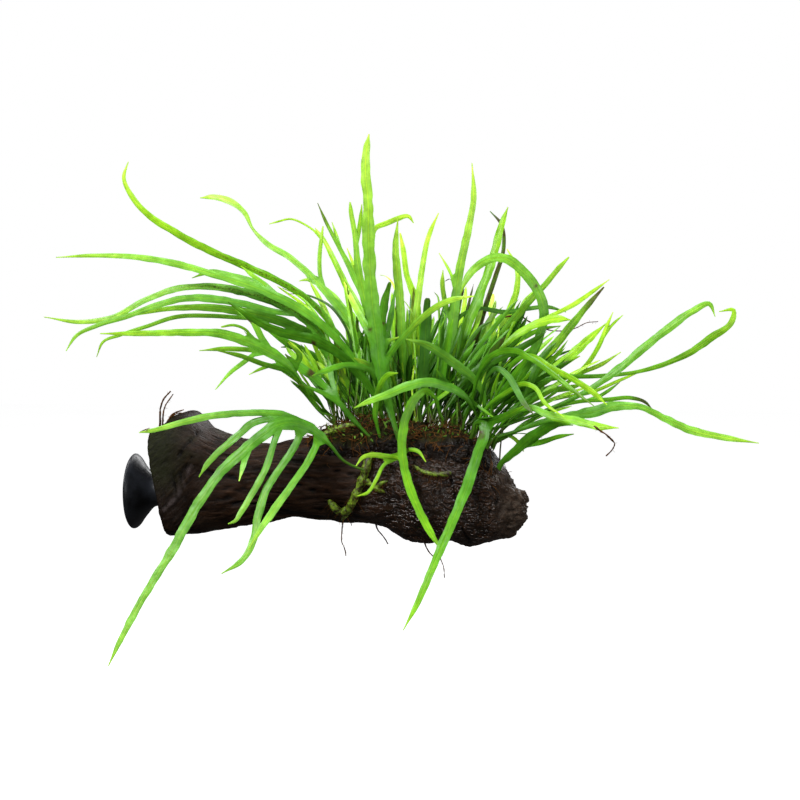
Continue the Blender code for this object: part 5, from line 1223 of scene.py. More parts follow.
def leaf_material():
    n = Nodes("leaf_blade")
    place = n.place()
    tone = n.attribute("tone", "Color")
    uv = n.new("ShaderNodeUVMap", uv_map="blade").outputs["UV"]
    split = n.new("ShaderNodeSeparateXYZ")
    n.link(uv, split.inputs["Vector"])
    across = n.math("ABSOLUTE", split.outputs["X"])
    patches = n.noise(place, 160, 3, 0.55)
    fine = n.noise(place, 600, 2)

    def along(across_scale, length_scale, detail):
        mapping = n.new("ShaderNodeMapping")
        mapping.inputs["Scale"].default_value = (across_scale, length_scale, 1)
        n.link(uv, mapping.inputs["Vector"])
        return n.noise(mapping.outputs["Vector"], 1.0, detail)

    streak, quilt = along(1.1, 0.07, 1), along(0.45, 0.3, 1)
    colour = n.layers(
        tone,
        (n.span(patches, 0.38, 0.62, 0, 0.6), (0.6, 0.66, 0.42)),
        (n.span(fine, 0.45, 0.7, 0, 0.15), (1.25, 1.2, 1.1)),
        (n.span(streak, 0.38, 0.64, 0, 0.3), (0.62, 0.74, 0.5)),
        (n.span(quilt, 0.42, 0.66, 0, 0.5), (1.3, 1.2, 1.4)),
        (n.span(across, 0.35, 0.85, 0.45, 0), (0.72, 0.76, 0.5)),
        (n.span(across, 0.14, 0.3, 0.5, 0), (1.9, 1.45, 0.9)),
        blend="MULTIPLY",
    )
    worn = n.times(n.attribute("brown"), n.span(patches, 0.3, 0.55, 0.4, 1))
    dots = n.span(n.noise(place, 1100, 1), 0.5, 0.58, 0, 0.8)
    dotted = n.times(n.span(across, 0.45, 0.75, 1, 0), dots)
    colour = n.layers(
        colour,
        (worn, (0.055, 0.024, 0.01)),  # brown tips and blotches
        (n.times(dotted, n.attribute("dotted")), (0.05, 0.025, 0.008)),  # dots along some ribs
        (n.span(n.noise(place, 420, 2), 0.74, 0.79, 0, 0.35), (0.06, 0.08, 0.01)),  # specks
    )
    n.set(Base_Color=colour, Roughness=0.38, Specular_IOR_Level=0.2)
    n.bump(n.math("ADD", streak, quilt), 0.35, 0.0006)
    glow = n.new("ShaderNodeBsdfTranslucent")
    n.put(n.mix(1.0, colour, (1.3, 1.25, 0.5), "MULTIPLY"), glow.inputs["Color"])
    both = n.new("ShaderNodeMixShader")
    for value, socket in zip((SHINE_THROUGH, n.shader.outputs["BSDF"], glow.outputs["BSDF"]), both.inputs):
        n.put(value, socket)
    n.link(both.outputs["Shader"], n.output.inputs["Surface"])
    return n.mat


def wood_material():
    n = Nodes("wet_driftwood")
    block, end, crest = (n.attribute(name) for name in ("block", "end", "crest"))
    grain = n.noise(n.place((60, 420, 420)), 1.0, 6, 0.62)
    slanted = n.noise(n.place((110, 900, 700), -math.pi / 4), 1.0, 5, 0.6)
    streaks = n.mix(n.attribute("wrinkled"), n.mix(block, grain, slanted), wrinkles(n))
    broad = n.noise(n.place(), 55, 3)
    fine = n.noise(n.place(), 1400, 3, 0.7)
    colour = n.ramp(streaks, (
        (0.3, (0.0016, 0.0009, 0.0006)), (0.46, (0.0045, 0.0023, 0.0013)),
        (0.6, (0.0095, 0.0048, 0.0026)), (0.8, (0.021, 0.012, 0.0075)),
    ))  # fmt: skip
    colour = n.mix(n.span(block, 0, 1, 1, 0), colour, (2.4, 2.1, 1.75), "MULTIPLY")
    rings = n.new("ShaderNodeTexWave", wave_type="RINGS", rings_direction="X")
    rings.inputs["Scale"].default_value = 90
    rings.inputs["Distortion"].default_value = 2.5
    n.link(n.place(), rings.inputs["Vector"])
    sawn = n.ramp(rings.outputs["Fac"], ((0.2, (0.06, 0.038, 0.022)), (0.8, (0.14, 0.095, 0.06))))
    sawn = n.mix(n.span(broad, 0.4, 0.65, 0, 0.6), sawn, (0.04, 0.03, 0.024))
    colour = n.layers(
        colour,
        (n.span(broad, 0.5, 0.68, 0, 0.4), (0.0145, 0.0095, 0.006)),
        (n.span(fine, 0.62, 0.8, 0, 0.45), (0.045, 0.021, 0.01)),
        # painted highlight on the relief's crests, and painted shade in its valleys and pits
        (n.span(crest, 0.55, 0.9, 0, 0.4), (0.02, 0.0115, 0.0075)),
        (n.span(crest, 0.4, 0.15, 0, 0.8), (0.0013, 0.0009, 0.0007)),
        (n.times(n.attribute("green"), n.span(streaks, 0.35, 0.65, 0.3, 0.8)), (0.011, 0.0165, 0.0045)),
        (n.times(end, n.span(fine, 0.4, 0.62, 0.15, 0.75)), (0.05, 0.038, 0.028)),
        (n.times(n.attribute("pale"), n.span(grain, 0.3, 0.7, 0.3, 0.85)), (0.055, 0.043, 0.042)),
        (n.attribute("sawn"), sawn),
        # painted shade: cracks and pits near black
        (n.attribute("crack"), (0.0012, 0.0008, 0.0008)),
    )
    wet = n.times(n.attribute("wrinkled"), n.span(end, 0.1, 0.8, 1, 0))
    n.set(
        Base_Color=colour, Roughness=n.span(wet, 0, 1, 0.46, 0.17),
        Specular_IOR_Level=n.span(wet, 0, 1, 0.07, 0.26),
    )  # fmt: skip
    height = n.math("ADD", streaks, n.times(fine, n.span(wet, 0, 1, 0.4, 0.06)))
    n.bump(n.times(height, n.span(wet, 0, 1, 0.6, 2.2)), 0.8, 0.0018)
    return n.mat


def spotted(name, spots, stops, rough, gloss, grain, bump):
    """A skin of spots: their noise and colours, its roughness and gloss, its bumps' noise and size."""
    n = Nodes(name)
    n.set(Base_Color=n.ramp(n.noise(n.place(), *spots), stops), Specular_IOR_Level=gloss)
    if isinstance(rough, tuple):  # a noise, and what it spans
        rough = n.span(n.noise(n.place(), *rough[0]), *rough[1])
    n.set(Roughness=rough)
    n.bump(n.noise(n.place(), *grain), *bump)
    return n.mat


def mat_material(name, low, high, rough):
    return spotted(name, (260, 4, 0.6), ((0.32, low), (0.68, high)), rough, 0.06, (1500, 3), (0.5, 0.0005))


def rhizome_material():
    stops = (
        (0.38, (0.012, 0.007, 0.002)), (0.46, (0.045, 0.055, 0.005)),
        (0.56, (0.11, 0.19, 0.012)), (0.7, (0.22, 0.3, 0.025)),
    )  # fmt: skip
    return spotted("rhizome_skin", (420, 5, 0.68), stops, 0.4, 0.2, (900, 4, 0.6), (0.5, 0.0008))


def rubber_material():
    stops = ((0.35, (0.0045, 0.005, 0.006)), (0.65, (0.011, 0.0125, 0.016)))
    rough = ((420, 4), (0.35, 0.7, 0.3, 0.46))
    return spotted("cup_rubber", (130, 3), stops, rough, 0.2, (2200, 2), (0.1, 0.0002))


def wrinkles(n):
    return n.noise(n.place(WRINKLE_SCALE), 1.0, 2, 0.5, 1.6)


def pad_material():
    n = Nodes("root_earth")
    spots = n.noise(n.place(), 300, 4, 0.62)
    earth = n.ramp(spots, (
        (0.32, (0.003, 0.002, 0.001)), (0.5, (0.009, 0.0075, 0.002)), (0.7, (0.022, 0.024, 0.004)),
    ))  # fmt: skip
    wood = n.ramp(spots, ((0.35, (0.0014, 0.0009, 0.0006)), (0.7, (0.009, 0.005, 0.003))))
    bare = n.attribute("bare")
    n.set(
        Base_Color=n.mix(bare, earth, wood), Roughness=n.span(bare, 0, 1, 0.75, 0.22),
        Specular_IOR_Level=n.span(bare, 0, 1, 0.04, 0.08),
    )  # fmt: skip
    grain = n.times(n.noise(n.place(), 1300, 4, 0.65), n.span(bare, 0, 1, 0.5, 0.1))
    n.bump(n.math("ADD", n.times(n.times(wrinkles(n), bare), 2.0), grain), 0.8, 0.0016)
    return n.mat


# ---------------------------------------------------------------- the log


def eased(table, x):
    """A table's value with its corners rounded off."""
    return np.mean([lookup(table, x + d) for d in np.linspace(-CORNER, CORNER, 7)], axis=0)


def log_surface(x, angle, out=0.0):
    """Points in mm on the log at x and at angle round from +Y over the top."""
    top, bottom = eased(TOP_LINE, x), eased(BOTTOM_LINE, x)
    half_height, middle = (top - bottom) / 2, (top + bottom) / 2
    half_depth = eased(LOG_HALF_DEPTH, x)
    c, s = np.cos(angle), np.sin(angle)
    sawn = smooth_step((SAW_SLANT_END - x) / (SAW_SLANT_END - LOG_START))
    power = 2 / (SQUARENESS + (SAWN_SQUARENESS - SQUARENESS) * sawn)
    y = half_depth * np.sign(c) * np.abs(c) ** power
    z = half_height * np.sign(s) * np.abs(s) ** power
    z = z + eased(KNOB_LINE, x) * np.maximum(0, np.sin(angle + 0.15)) ** 6
    z = z - eased(FLANGE_LINE, x) * np.maximum(0, -np.sin(angle + 0.2)) ** 6
    grow = 1 + (log_relief(x, angle) + out) / np.hypot(y, z)
    return np.stack([x + SAW_SLANT * sawn * (z * grow + middle), y * grow, z * grow + middle], -1)


def near_line(points, line):
    """Distance in mm on the sheet from rows (u, v) to a line of points."""
    best = np.full(len(points), np.inf)
    for a, b in zip(line, line[1:]):
        a, b = np.array(a, float), np.array(b, float)
        t = np.clip(((points - a) @ (b - a)) / ((b - a) @ (b - a)), 0, 1)
        best = np.minimum(best, np.linalg.norm(points - a - t[:, None] * (b - a), axis=1))
    return best


def log_rings():
    """The fine log's rings from the middle of its sawn face to that of its broken end, still without relief:
    points, x, angles, normals that face out, and 1 on the sawn face."""
    angles = np.linspace(0, 2 * np.pi, LOG_ANGLES, endpoint=False)
    x, a = np.meshgrid(np.arange(LOG_START, LOG_END, LOG_SLICE), angles, indexing="ij")
    body = log_surface(x, a, 0.25)
    share = np.linspace(1, 0.03, END_RINGS)[1:, None, None]
    left, right = (ring.mean(0) + (ring - ring.mean(0)) * share for ring in (body[0], body[-1]))
    right[..., 0] += END_BULGE * np.sqrt(1 - share[..., 0] ** 2)
    points = np.concatenate([left[::-1], body, right])
    x = np.concatenate([np.full(left.shape[:2], LOG_START), x, np.full(right.shape[:2], LOG_END)])
    round_way = np.roll(points, -1, axis=1) - np.roll(points, 1, axis=1)
    normal = units(np.cross(round_way, np.gradient(points, axis=0)), TINY)
    if ((points - points.mean((0, 1))) * normal).sum() < 0:
        normal = -normal
    sawn = np.zeros(x.shape)
    sawn[: len(left)] = 1.0
    return points, x, np.broadcast_to(angles, x.shape), normal, sawn


def build_wood(mat):
    points, x_all, a_all, normal, sawn = log_rings()
    broken = smooth_step((x_all - LOG_END + 16) / 14)
    wound = a_all + 0.06 * np.sin(x_all / 9)
    turn = np.stack([np.cos(wound), np.sin(wound)], -1) * 20
    block = smooth_step((GRAIN_BLOCK - x_all) / 26)
    wrinkled = smooth_step((x_all - WRINKLES) / 34)

    def grain(kind, stretch, width, seed):
        return kind(np.stack([x_all / stretch, turn[..., 0] / width, turn[..., 1] / width], -1), seed)

    ridge = grain(ridges, 17, 3.1, 3)
    fine = grain(ridges, 7, 1.25, 9)
    pits = np.clip(grain(value_noise, 6.5, 2.2, 21) - 0.6, 0, 1) * 3
    lumps = layered_noise(points / 15, 3, 5)
    rough = layered_noise(points / 2.6, 2, 31)
    hair_grain = grain(ridges, 5, 0.6, 15)
    px, py, pz = np.moveaxis(points, -1, 0)
    slanted = ridges(np.stack([(px + pz) / 11, (px - pz) / 2.4, py / 6], -1), 51)
    bent = points + 1.3 * np.stack([layered_noise(points / 5, 2, seed) for seed in (81, 82, 83)], -1)
    folds = ridges(bent / (4.2, 2.3, 2.3), 91) + 0.55 * ridges(bent / (1.9, 1.3, 1.3), 92)
    plain = (1 - 0.85 * block) * (1 - 0.85 * wrinkled)
    move = 0.45 * lumps + plain * (0.34 * ridge + 0.32 * fine + 0.2 * hair_grain) + 0.14 * rough
    move += 0.2 * block * slanted + 0.42 * wrinkled * folds - np.clip(pits, 0, 1) * (1 - sawn) * plain
    move += broken * (1.2 * layered_noise(points / (5, 2.6, 2.6), 3, 44) + 0.7 * rough)
    move = move * (1 - 0.9 * sawn)
    front = smooth_step((-normal[..., 1] - 0.05) / 0.3).ravel()
    flat = sheet_of(points * MM)[..., :2].reshape(-1, 2)
    crack = np.zeros(len(flat))
    wobble = 0.5 * value_noise(np.column_stack([flat / 2.3, np.zeros(len(flat))]), 61)
    for line in CRACKS:
        gap = near_line(flat, line) + wobble
        crack = np.maximum(crack, smooth_step(1 - gap / CRACK_WIDTH) * front)
    pale = smooth_step(1 - np.abs(near_line(flat, TORN_EDGE) + 1.6 * wobble) / 1.1) * front
    crack = crack.reshape(points.shape[:2])
    move = move - CRACK_DEPTH * crack + 0.5 * pale.reshape(crack.shape)
    points = points + normal * move[..., None]
    holes = smooth_step((np.clip(pits, 0, 1) - 0.25) / 0.5) * (1 - sawn) * plain
    u, v = flat[:, 0], flat[:, 1]
    green = 0.8 * smooth_step((96 - u) / 16) * smooth_step((250 - v) / 14)
    points = points.reshape(-1, 3)
    moss = smooth_step((value_noise(points / 9, 71) - 0.15) / 0.5) * smooth_step((236 - v) / 14)
    # crest: the relief's height, from 0 in valleys and pits to 1 on crests; the wood's colour gives crests a
    # painted highlight and valleys painted shade
    crest = 0.5 + plain * (0.32 * (ridge + 0.9 * fine + 0.7 * hair_grain - 0.9) - 0.5 * np.clip(pits, 0, 1))
    crest = np.clip(crest + 0.2 * wrinkled * (folds - 0.5) + 0.12 * block * (slanted - 0.4), 0, 1)
    # crack: the cracks and the deeper pits, which the wood's colour paints near black as painted shade
    shown = {
        "crest": crest, "sawn": sawn, "crack": np.maximum(crack, 0.85 * holes),
        "green": np.clip(green + 0.55 * moss, 0, 1), "pale": pale, "block": block, "wrinkled": wrinkled,
        "end": broken,
    }  # fmt: skip
    make_mesh(
        "driftwood_log", points * MM, tube_faces(*x_all.shape), mat, "driftwood", "driftwood",
        extra={key: values.ravel() for key, values in shown.items()},
    )  # fmt: skip


# ---------------------------------------------------------------- mat of roots, rhizomes, roots


def bare_front(points):
    """1 where the mat thins out over the wood in front, 0 on the log's top."""
    u, v, w = sheet_of(points).T
    line = MAT_FRONT + 2.5 * value_noise(np.column_stack([u / 7, v * 0, v * 0]), 8)
    return smooth_step((v - line) / 5) * smooth_step((MAT_FRONT_DEPTH - w) / 8)


def build_root_mat(mat, hair_mat, moss_mat, rng):
    xs = np.arange(*MAT_X, PAD_SLICE)
    low, high = (math.radians(a) for a in MAT_ANGLES)
    angles = np.linspace(low - 0.06, high + 0.1, PAD_ANGLES)
    x, a = np.meshgrid(xs, angles, indexing="ij")
    edge = np.minimum((a - angles[0]), (angles[-1] - a)) / (angles[-1] - angles[0])
    height = 0.5 + eased(MAT_HEIGHTS, x) * smooth_step(3.2 * edge)
    base = log_surface(x, a, 0.0)
    height = height * (1 + 0.3 * layered_noise(base / 7, 3, 12)) + 0.7 * layered_noise(base / 1.9, 3, 17)
    rim = smooth_step(np.minimum(edge * 14, np.minimum(x - xs[0], xs[-1] - x) / 4))
    over = log_surface(x, a, 0.2 + (height - 0.9) * rim - 0.5 * (1 - rim))
    rows, cols = x.shape
    pad = over.reshape(-1, 3) * MM
    bare = bare_front(pad)
    make_mesh("root_pad", pad, grid_faces(rows, cols), mat, "roots", "root_mat", extra={"bare": bare})

    shapes, tufts = [], []
    normal = units(np.cross(np.gradient(over, axis=1), np.gradient(over, axis=0)))
    if normal[..., 2].mean() < 0:
        normal = -normal
    bare = bare.reshape(rows, cols)
    for _ in range(HAIRS):
        i, j = rng.integers(2, rows - 2), rng.integers(1, cols - 1)
        if bare[i, j] > 0.25 and rng.random() < 0.85:
            continue
        start, up = over[i, j] - 0.6 * normal[i, j], normal[i, j]
        way = rng.normal(size=3)
        way = unit(way - way @ up * up)
        length = rng.uniform(3, 11)
        t = np.linspace(0, 1, 7)[:, None]
        lift = rng.uniform(0.1, 0.45)
        curl = rng.normal(size=3) * 0.35
        path = start + way * length * t + up * length * lift * 4 * t * (1 - t) * rng.uniform(0.3, 0.8)
        path = path + curl * length * t * t * 0.4 + rng.normal(size=(7, 3)) * 0.18
        shapes.append(root_tube(path, rng.uniform(0.16, 0.34), 0.1, 4))
    for _ in range(TUFTS):
        i, j = rng.integers(2, rows - 2), rng.integers(1, cols - 1)
        if bare[i, j] > 0.1:
            continue
        start, up = over[i, j] - 0.4 * normal[i, j], normal[i, j]
        way = unit(up + 0.7 * rng.normal(size=3))
        side = unit(np.cross(way, rng.normal(size=3)))
        length, width = rng.uniform(1.6, 4.6), rng.uniform(0.3, 0.65)
        bend = 0.3 * rng.normal(size=3)
        t = np.linspace(0, 1, 4)[:, None]
        mid = start + way * length * t + bend * length * t * t
        wide = side * (width * np.array((0.6, 1, 0.8, 0.1)))[:, None]
        tufts.append((np.stack([mid - wide, mid + wide], 1).reshape(-1, 3) * MM, grid_faces(4, 2)))
    make_mesh("root_hairs", *joined(shapes), hair_mat, "roots")
    make_mesh("moss_tufts", *joined(tufts), moss_mat, "roots")


def build_rhizomes(mat, hair_mat, ground, rng):
    hairs = []
    for name, stems in RHIZOMES.items():
        shapes = []
        for stem in stems:
            rows = smooth_route(stem)[:, 1:]
            rows = rows[np.linspace(0, len(rows) - 1, max(6, len(rows) // 2)).astype(int)]
            depth = []
            for u, v, radius in rows:
                ring = [(u + radius * math.cos(t), v + radius * math.sin(t)) for t in around(6)] + [(u, v)]
                hits = [d for d in (face_depth(ground, *p) for p in ring) if d is not None]
                depth.append(min(hits) - 0.75 * radius if hits else depth[-1])
            depth = np.array(depth)
            for _ in range(3):
                depth[1:-1] = (depth[:-2] + 2 * depth[1:-1] + depth[2:]) / 4
            path = world(np.column_stack([rows[:, :2], depth]))
            span = np.linspace(0, 1, len(path))
            swelling = 0.08 * np.sin(span * len(path) * 0.9)
            radii = rows[:, 2] * (1 + swelling + 0.05 * rng.normal(size=len(path)))
            radii *= np.sqrt(np.clip(1 - (2 * span - 1) ** 16, 0.12, 1))
            points, faces = tube_rings(path, radii * MM, 18)
            points = points + 0.0002 * rng.normal(size=points.shape) * 0.6
            shapes.append((points, faces))
            for k in range(1, len(path) - 1):
                for _ in range(2):
                    out = rng.normal(size=3)
                    out[1] = -abs(out[1])
                    out = unit(out)
                    start = path[k] + out * radii[k] * MM * 0.9
                    t = np.linspace(0, 1, 5)[:, None]
                    reach = rng.uniform(1.2, 4.5) * MM
                    drop = np.array((0, 0, -1.0)) + 0.5 * rng.normal(size=3)
                    hair = start + out * reach * t * 0.6 + drop * reach * t * t * 0.7
                    hairs.append(tube_rings(hair, np.linspace(0.14, 0.06, 5) * MM, 3))
        make_mesh(name + "_stem", *joined(shapes), mat, "rhizome", name)
    make_mesh("rhizome_hairs", *joined(hairs), hair_mat, "roots")


def build_roots(mat, ground, rng):
    shapes = []
    for _ in range(KNOT_ROOTS):
        u, v = (rng.uniform(*span) for span in KNOT_AREA)
        rows = [(u, v, 6 + 8 * rng.random())]
        way = np.array((rng.normal(), -1.0 - 0.4 * rng.random(), rng.normal()))
        for _ in range(5):
            way = way / np.linalg.norm(way) + 0.55 * rng.normal(size=3) + np.array((0, 0.25, -0.1))
            rows.append(tuple(np.array(rows[-1]) + 1.7 * way / np.linalg.norm(way)))
        shapes.append(root_tube(spline(world(rows) / MM, 0.8), rng.uniform(0.18, 0.32), 0.1, 4))
    for _ in range(CREEPING_ROOTS):
        u, v = (rng.uniform(*span) for span in CREEP_AREA)
        way = np.array((rng.normal() * 0.5, 1.0))
        rows = []
        for _ in range(rng.integers(5, 13)):
            deep = face_depth(ground, u, v)
            if deep is None:
                break
            rows.append((u, v, deep - rng.uniform(0.15, 0.7)))
            way = unit(way + 0.35 * rng.normal(size=2))
            u, v = u + 1.2 * way[0], v + 1.2 * way[1]
        if len(rows) > 3:
            shapes.append(root_tube(spline(world(rows) / MM, 0.8), rng.uniform(0.15, 0.3), 0.09, 4))
    for rows, radius in ROOTS:
        path = spline(world(rows) / MM, 0.9)
        path = path + 0.12 * layered_noise(path / 2.5, 2, int(rows[0][0]))[:, None]
        radii = np.linspace(radius, 0.55 * radius, len(path)) * (1 + 0.15 * rng.normal(size=len(path)))
        shapes.append(tube_rings(path * MM, np.clip(radii, 0.12, 1) * MM, 6))
        for k in range(3, len(path) - 1, 2):
            out = unit(rng.normal(size=3))
            t = np.linspace(0, 1, 4)[:, None]
            hair = path[k] + out * rng.uniform(0.6, 2.2) * t + 0.3 * rng.normal(size=3) * t * t
            shapes.append(root_tube(hair, 0.09, 0.05, 3))
    make_mesh("loose_roots", *joined(shapes), mat, "roots")


# ---------------------------------------------------------------- the suction cup


# The cup's outline from the middle of its dish over the lip and the cone to the end of its neck: (x, radius)
CUP_PROFILE = (
    (6.5, 0.05), (6.45, 2), (6.2, 4), (5.5, 7), (4.5, 9.5), (3.2, 12), (1.7, 14.4),
    (0.35, 16.3), (0.0, 17.3), (0.0, 18.7), (0.25, 19.05), (0.75, 19.1), (1.2, 18.85),
    (2.2, 17.9), (3.4, 16.2), (5.0, 14.1), (6.6, 12.2), (8.0, 10.5), (9.2, 9.2), (10.2, 8.3), (11.2, 7.75),
    (12.4, 7.4), (14.0, 7.25), (LOG_START - 0.3, 7.4), (LOG_START + 1.6, 7.6), (LOG_START + 1.7, 0.05),
)  # fmt: skip
CUP_ANGLES = 112


def build_cup(mat):
    profile = spline([(x, r, 0) for x, r in CUP_PROFILE], 0.45)[:, :2]
    turn = np.linspace(0, 2 * np.pi, CUP_ANGLES, endpoint=False)
    x = np.repeat(profile[:, :1], CUP_ANGLES, axis=1)
    r = profile[:, 1:2] * (1 + 0.0025 * np.sin(5 * turn + 1) + 0.002 * np.sin(9 * turn))
    points = np.stack([x, r * np.cos(turn), r * np.sin(turn)], -1)
    make_mesh("cup_body", points.reshape(-1, 3) * MM, tube_faces(*x.shape), mat, "cup", "suction_cup")


# ---------------------------------------------------------------- fronds


def eased_depth(strap, s):
    """Depth along a strap, with its corners rounded off."""
    end = strap.rows[-1, 0]
    near = np.minimum(np.abs(s - strap.start), np.abs(end - s)) / CORNER
    reach = np.clip(near, 0, 1)[:, None] * (CORNER * np.array((-1, -0.5, 0, 0.5, 1)))
    return depth_at(strap, s[:, None] + reach).mean(1)


def blade_rows(strap, s, seed, name):
    """Sheet rows (stations, columns, 3), half widths and thickness of a strap's blade at lengths s."""
    u, v, half, nu, nv = at_length(strap, s)
    last, end = strap.rows[-2, 0], strap.rows[-1, 0]
    tip = np.clip((s - last) / (end - last), 0, 1)
    full = float(at_length(strap, np.array([last]))[2][0]) * (1 - tip**2.4) ** 0.75
    half = np.where(tip > 0, (1 - FULL_TIP) * half + FULL_TIP * np.maximum(full, 0.2), half)
    line = np.column_stack([s, np.full(len(s), seed * 3.3), np.zeros(len(s))])
    jitter = value_noise(line / 6.5, 7) + 0.5 * value_noise(line / 2.4, 8)
    if name in BARE_STALKS:
        low_down = smooth_step((v - BARE_BELOW) / BARE_OVER)
        half = half * (1 - STALK_THINNING * low_down * smooth_step((half - 0.5) / 0.4))
    blade = smooth_step((half - STALK_HALF) / 1.3)
    half = half * (1 + JITTER * jitter * blade)
    deep = eased_depth(strap, s)
    c = COLUMNS[None, :]
    wave = np.sin(s[:, None] / 3.1 + seed * 2 + 1.3 * c) + 0.6 * np.sin(s[:, None] / 1.7 + seed * 5 - c)
    ripple = RIPPLE * half[:, None] * wave * c * c * blade[:, None]
    fold = -(FOLD[0] + FOLD[1] * math.sin(seed * 3)) * half[:, None] * (1 - np.abs(c)) * blade[:, None]
    groove = GROOVE * np.exp(-((c / GROOVE_WIDTH) ** 2)) * blade[:, None]
    rows = np.empty((len(s), len(COLUMNS), 3))
    skew = 0.1 * value_noise(line / 3.4, 9) * blade
    wide = (c + skew[:, None] * c * c) * half[:, None]
    rows[..., 0] = u[:, None] + wide * nu[:, None]
    rows[..., 1] = v[:, None] + wide * nv[:, None]
    rows[..., 2] = deep[:, None] + c * half[:, None] * lean_of(strap, s)[:, None] + ripple + fold + groove
    low_part = smooth_step((0.5 - s / end) / 0.2) * (strap.parent is None)
    thick = np.minimum(BLADE_THICKNESS, 0.2 + 0.3 * half)
    thick = thick + (1 - blade) * low_part * np.clip(1.3 * half - 0.2, 0, STALK_SWELL)
    profile = EDGE_THICKNESS + (thick[:, None] - EDGE_THICKNESS) * (1 - np.abs(c) ** 3)
    rib = RIB * np.exp(-((c / RIB_WIDTH) ** 2)) * blade[:, None]
    return rows, half, profile + rib


def blade_uv(columns, half, s):
    """For each point of a blade its place across, in mm from the middle, and its length from the root."""
    across = columns[None, :] * half[:, None]
    return np.stack([across, np.broadcast_to(s[:, None], across.shape)], -1).reshape(-1, 2)


def tone_colour(tone):
    return np.stack([np.interp(tone, TONES, TONE_COLOURS[:, k]) for k in range(3)], -1)


def tone_and_brown(name, seed, s, share, whole, half, rows):
    """Tone, and how brown, at each point of a lobe. Share runs 0 to 1 on the lobe, whole on the frond."""
    base_tone, tip_tone, brown_tip = LOOKS[name]
    stalk = 1 - smooth_step(half - STALK_HALF)
    tone = base_tone + (tip_tone - base_tone) * smooth_step(whole * 1.15 - 0.05)
    tone = tone + 0.05 * math.sin(seed * 4) - 0.12 * stalk * (whole < 0.5)
    tone = tone + 0.08 * smooth_step((share - 0.78) / 0.2) * (brown_tip < 0.25)
    mottle = 0.05 * value_noise(np.column_stack([s / 5, np.full(len(s), seed), s * 0]), 3)
    tone = tone[:, None] + mottle[:, None] - 0.05 * COLUMNS[None, :] ** 4
    ends = smooth_step((share - 0.94) / 0.06) * brown_tip
    if brown_tip > OLD_BROWN:
        ends = np.maximum(ends, brown_tip * smooth_step((share - 0.83) / 0.13))
    if name == "rolled_brown":
        ends = 0.35 + 0.5 * smooth_step((whole - 0.2) / 0.3)
    ends = np.maximum(ends, 0.45 * smooth_step((0.1 - whole) / 0.1) * stalk)
    brown = np.repeat(ends[:, None], len(COLUMNS), 1)
    for marked, u, v, radius in MARKS:
        if marked == name:
            away = np.hypot(rows[..., 0] - u, rows[..., 1] - v)
            brown = np.maximum(brown, smooth_step((radius + 0.5 - away) / 0.9))
    return np.clip(tone, 0, 1), brown


def build_frond(stem, mat, number):
    """One frond: its main lobe's strip, and strips that leave its edges for the others."""
    name = stem.frond.replace("frond_", "")
    tops, backs, tones, browns, dotted, uvs, faces = [], [], [], [], [], [], []
    count = 0
    cols = len(COLUMNS)
    for order, strap in enumerate([stem] + stem.lobes):
        seed = number * 1.7 + order * 0.61
        end = strap.rows[-1, 0]
        s = np.linspace(strap.start, end, max(8, round((end - strap.start) / STATION)) + 1)
        if strap is not stem:
            s = s[2:]
        rows, half, thick = blade_rows(strap, s, seed, name)
        share = (s - strap.start) / (end - strap.start)
        at = 0.0 if strap is stem else strap.fork / stem.rows[-1, 0]
        whole = at + (1 - at) * share
        tone, brown = tone_and_brown(name, seed, s, share, whole, half, rows)
        front, back = rows.copy(), rows.copy()
        front[..., 2] -= thick / 2
        back[..., 2] += thick / 2
        index = count + np.arange(rows[..., 0].size).reshape(-1, cols)
        tops.append(front.reshape(-1, 3))
        backs.append(back.reshape(-1, 3))
        mint = MINTY.get(name, 0) * tone * (0.1 + 0.9 * smooth_step((whole[:, None] - 0.15) / 0.4))
        tones.append((tone_colour(tone) + mint[..., None] * MINT).reshape(-1, 3))
        browns.append(brown.ravel())
        dots = smooth_step((share - 0.22) / 0.1) * smooth_step((0.66 - share) / 0.1)
        dotted.append(np.repeat(0.75 * dots * (name in DOTTED and strap is stem), cols))
        uvs.append(blade_uv(COLUMNS, half, s))
        faces += grid_faces(len(s), cols, first=count)
        count += index.size
        if strap is stem:
            edges = {-1: index[:, 0], 1: index[:, -1]}
            stem_s = s
            rims = [(edges[-1], -1), (edges[1], 1), (index[-1], 0), (index[0], 0)]
            joints = []
        else:
            middle = int(np.abs(stem_s - strap.fork).argmin())
            low = int(np.clip(middle - (cols - 1) // 2, 1, len(stem_s) - cols - 1))
            run = edges[strap.side][low : low + cols]
            along_edge = np.vstack(tops)[run[-1]] - np.vstack(tops)[run[0]]
            across = front[0, -1] - front[0, 0]
            if along_edge[:2] @ across[:2] < 0:
                run = run[::-1]
            pairs = list(zip(run.tolist(), index[0].tolist()))
            faces += [(a, b, d, c) for (a, c), (b, d) in zip(pairs, pairs[1:])]
            joints.append((strap.side, low, low + cols - 1))
            rims += [(np.concatenate([run[[k]], index[:, k]]), 0) for k in (0, -1)] + [(index[-1], 0)]
    all_faces = two_sided(faces, count)
    for line, side in rims:
        for k, (a, b) in enumerate(zip(line.tolist(), line[1:].tolist())):
            if not (side and any(s == side and low <= k < high for s, low, high in joints)):
                all_faces.append(rim_face(a, b, count))
    make_mesh(
        name + "_blade", world(np.vstack(tops + backs)), all_faces, mat, "leaf", stem.frond,
        colours=np.vstack(tones * 2), uv=np.vstack(uvs * 2),
        extra={"brown": np.tile(np.concatenate(browns), 2), "dotted": np.tile(np.concatenate(dotted), 2)},
        sharp=SHARP_RIM,
    )  # fmt: skip


def log_axis(u):
    """The depth w of the log's axis at u."""
    return CUP_ON_SHEET[2] - math.sin(VIEW_TURN) * (u - CUP_ON_SHEET[0])


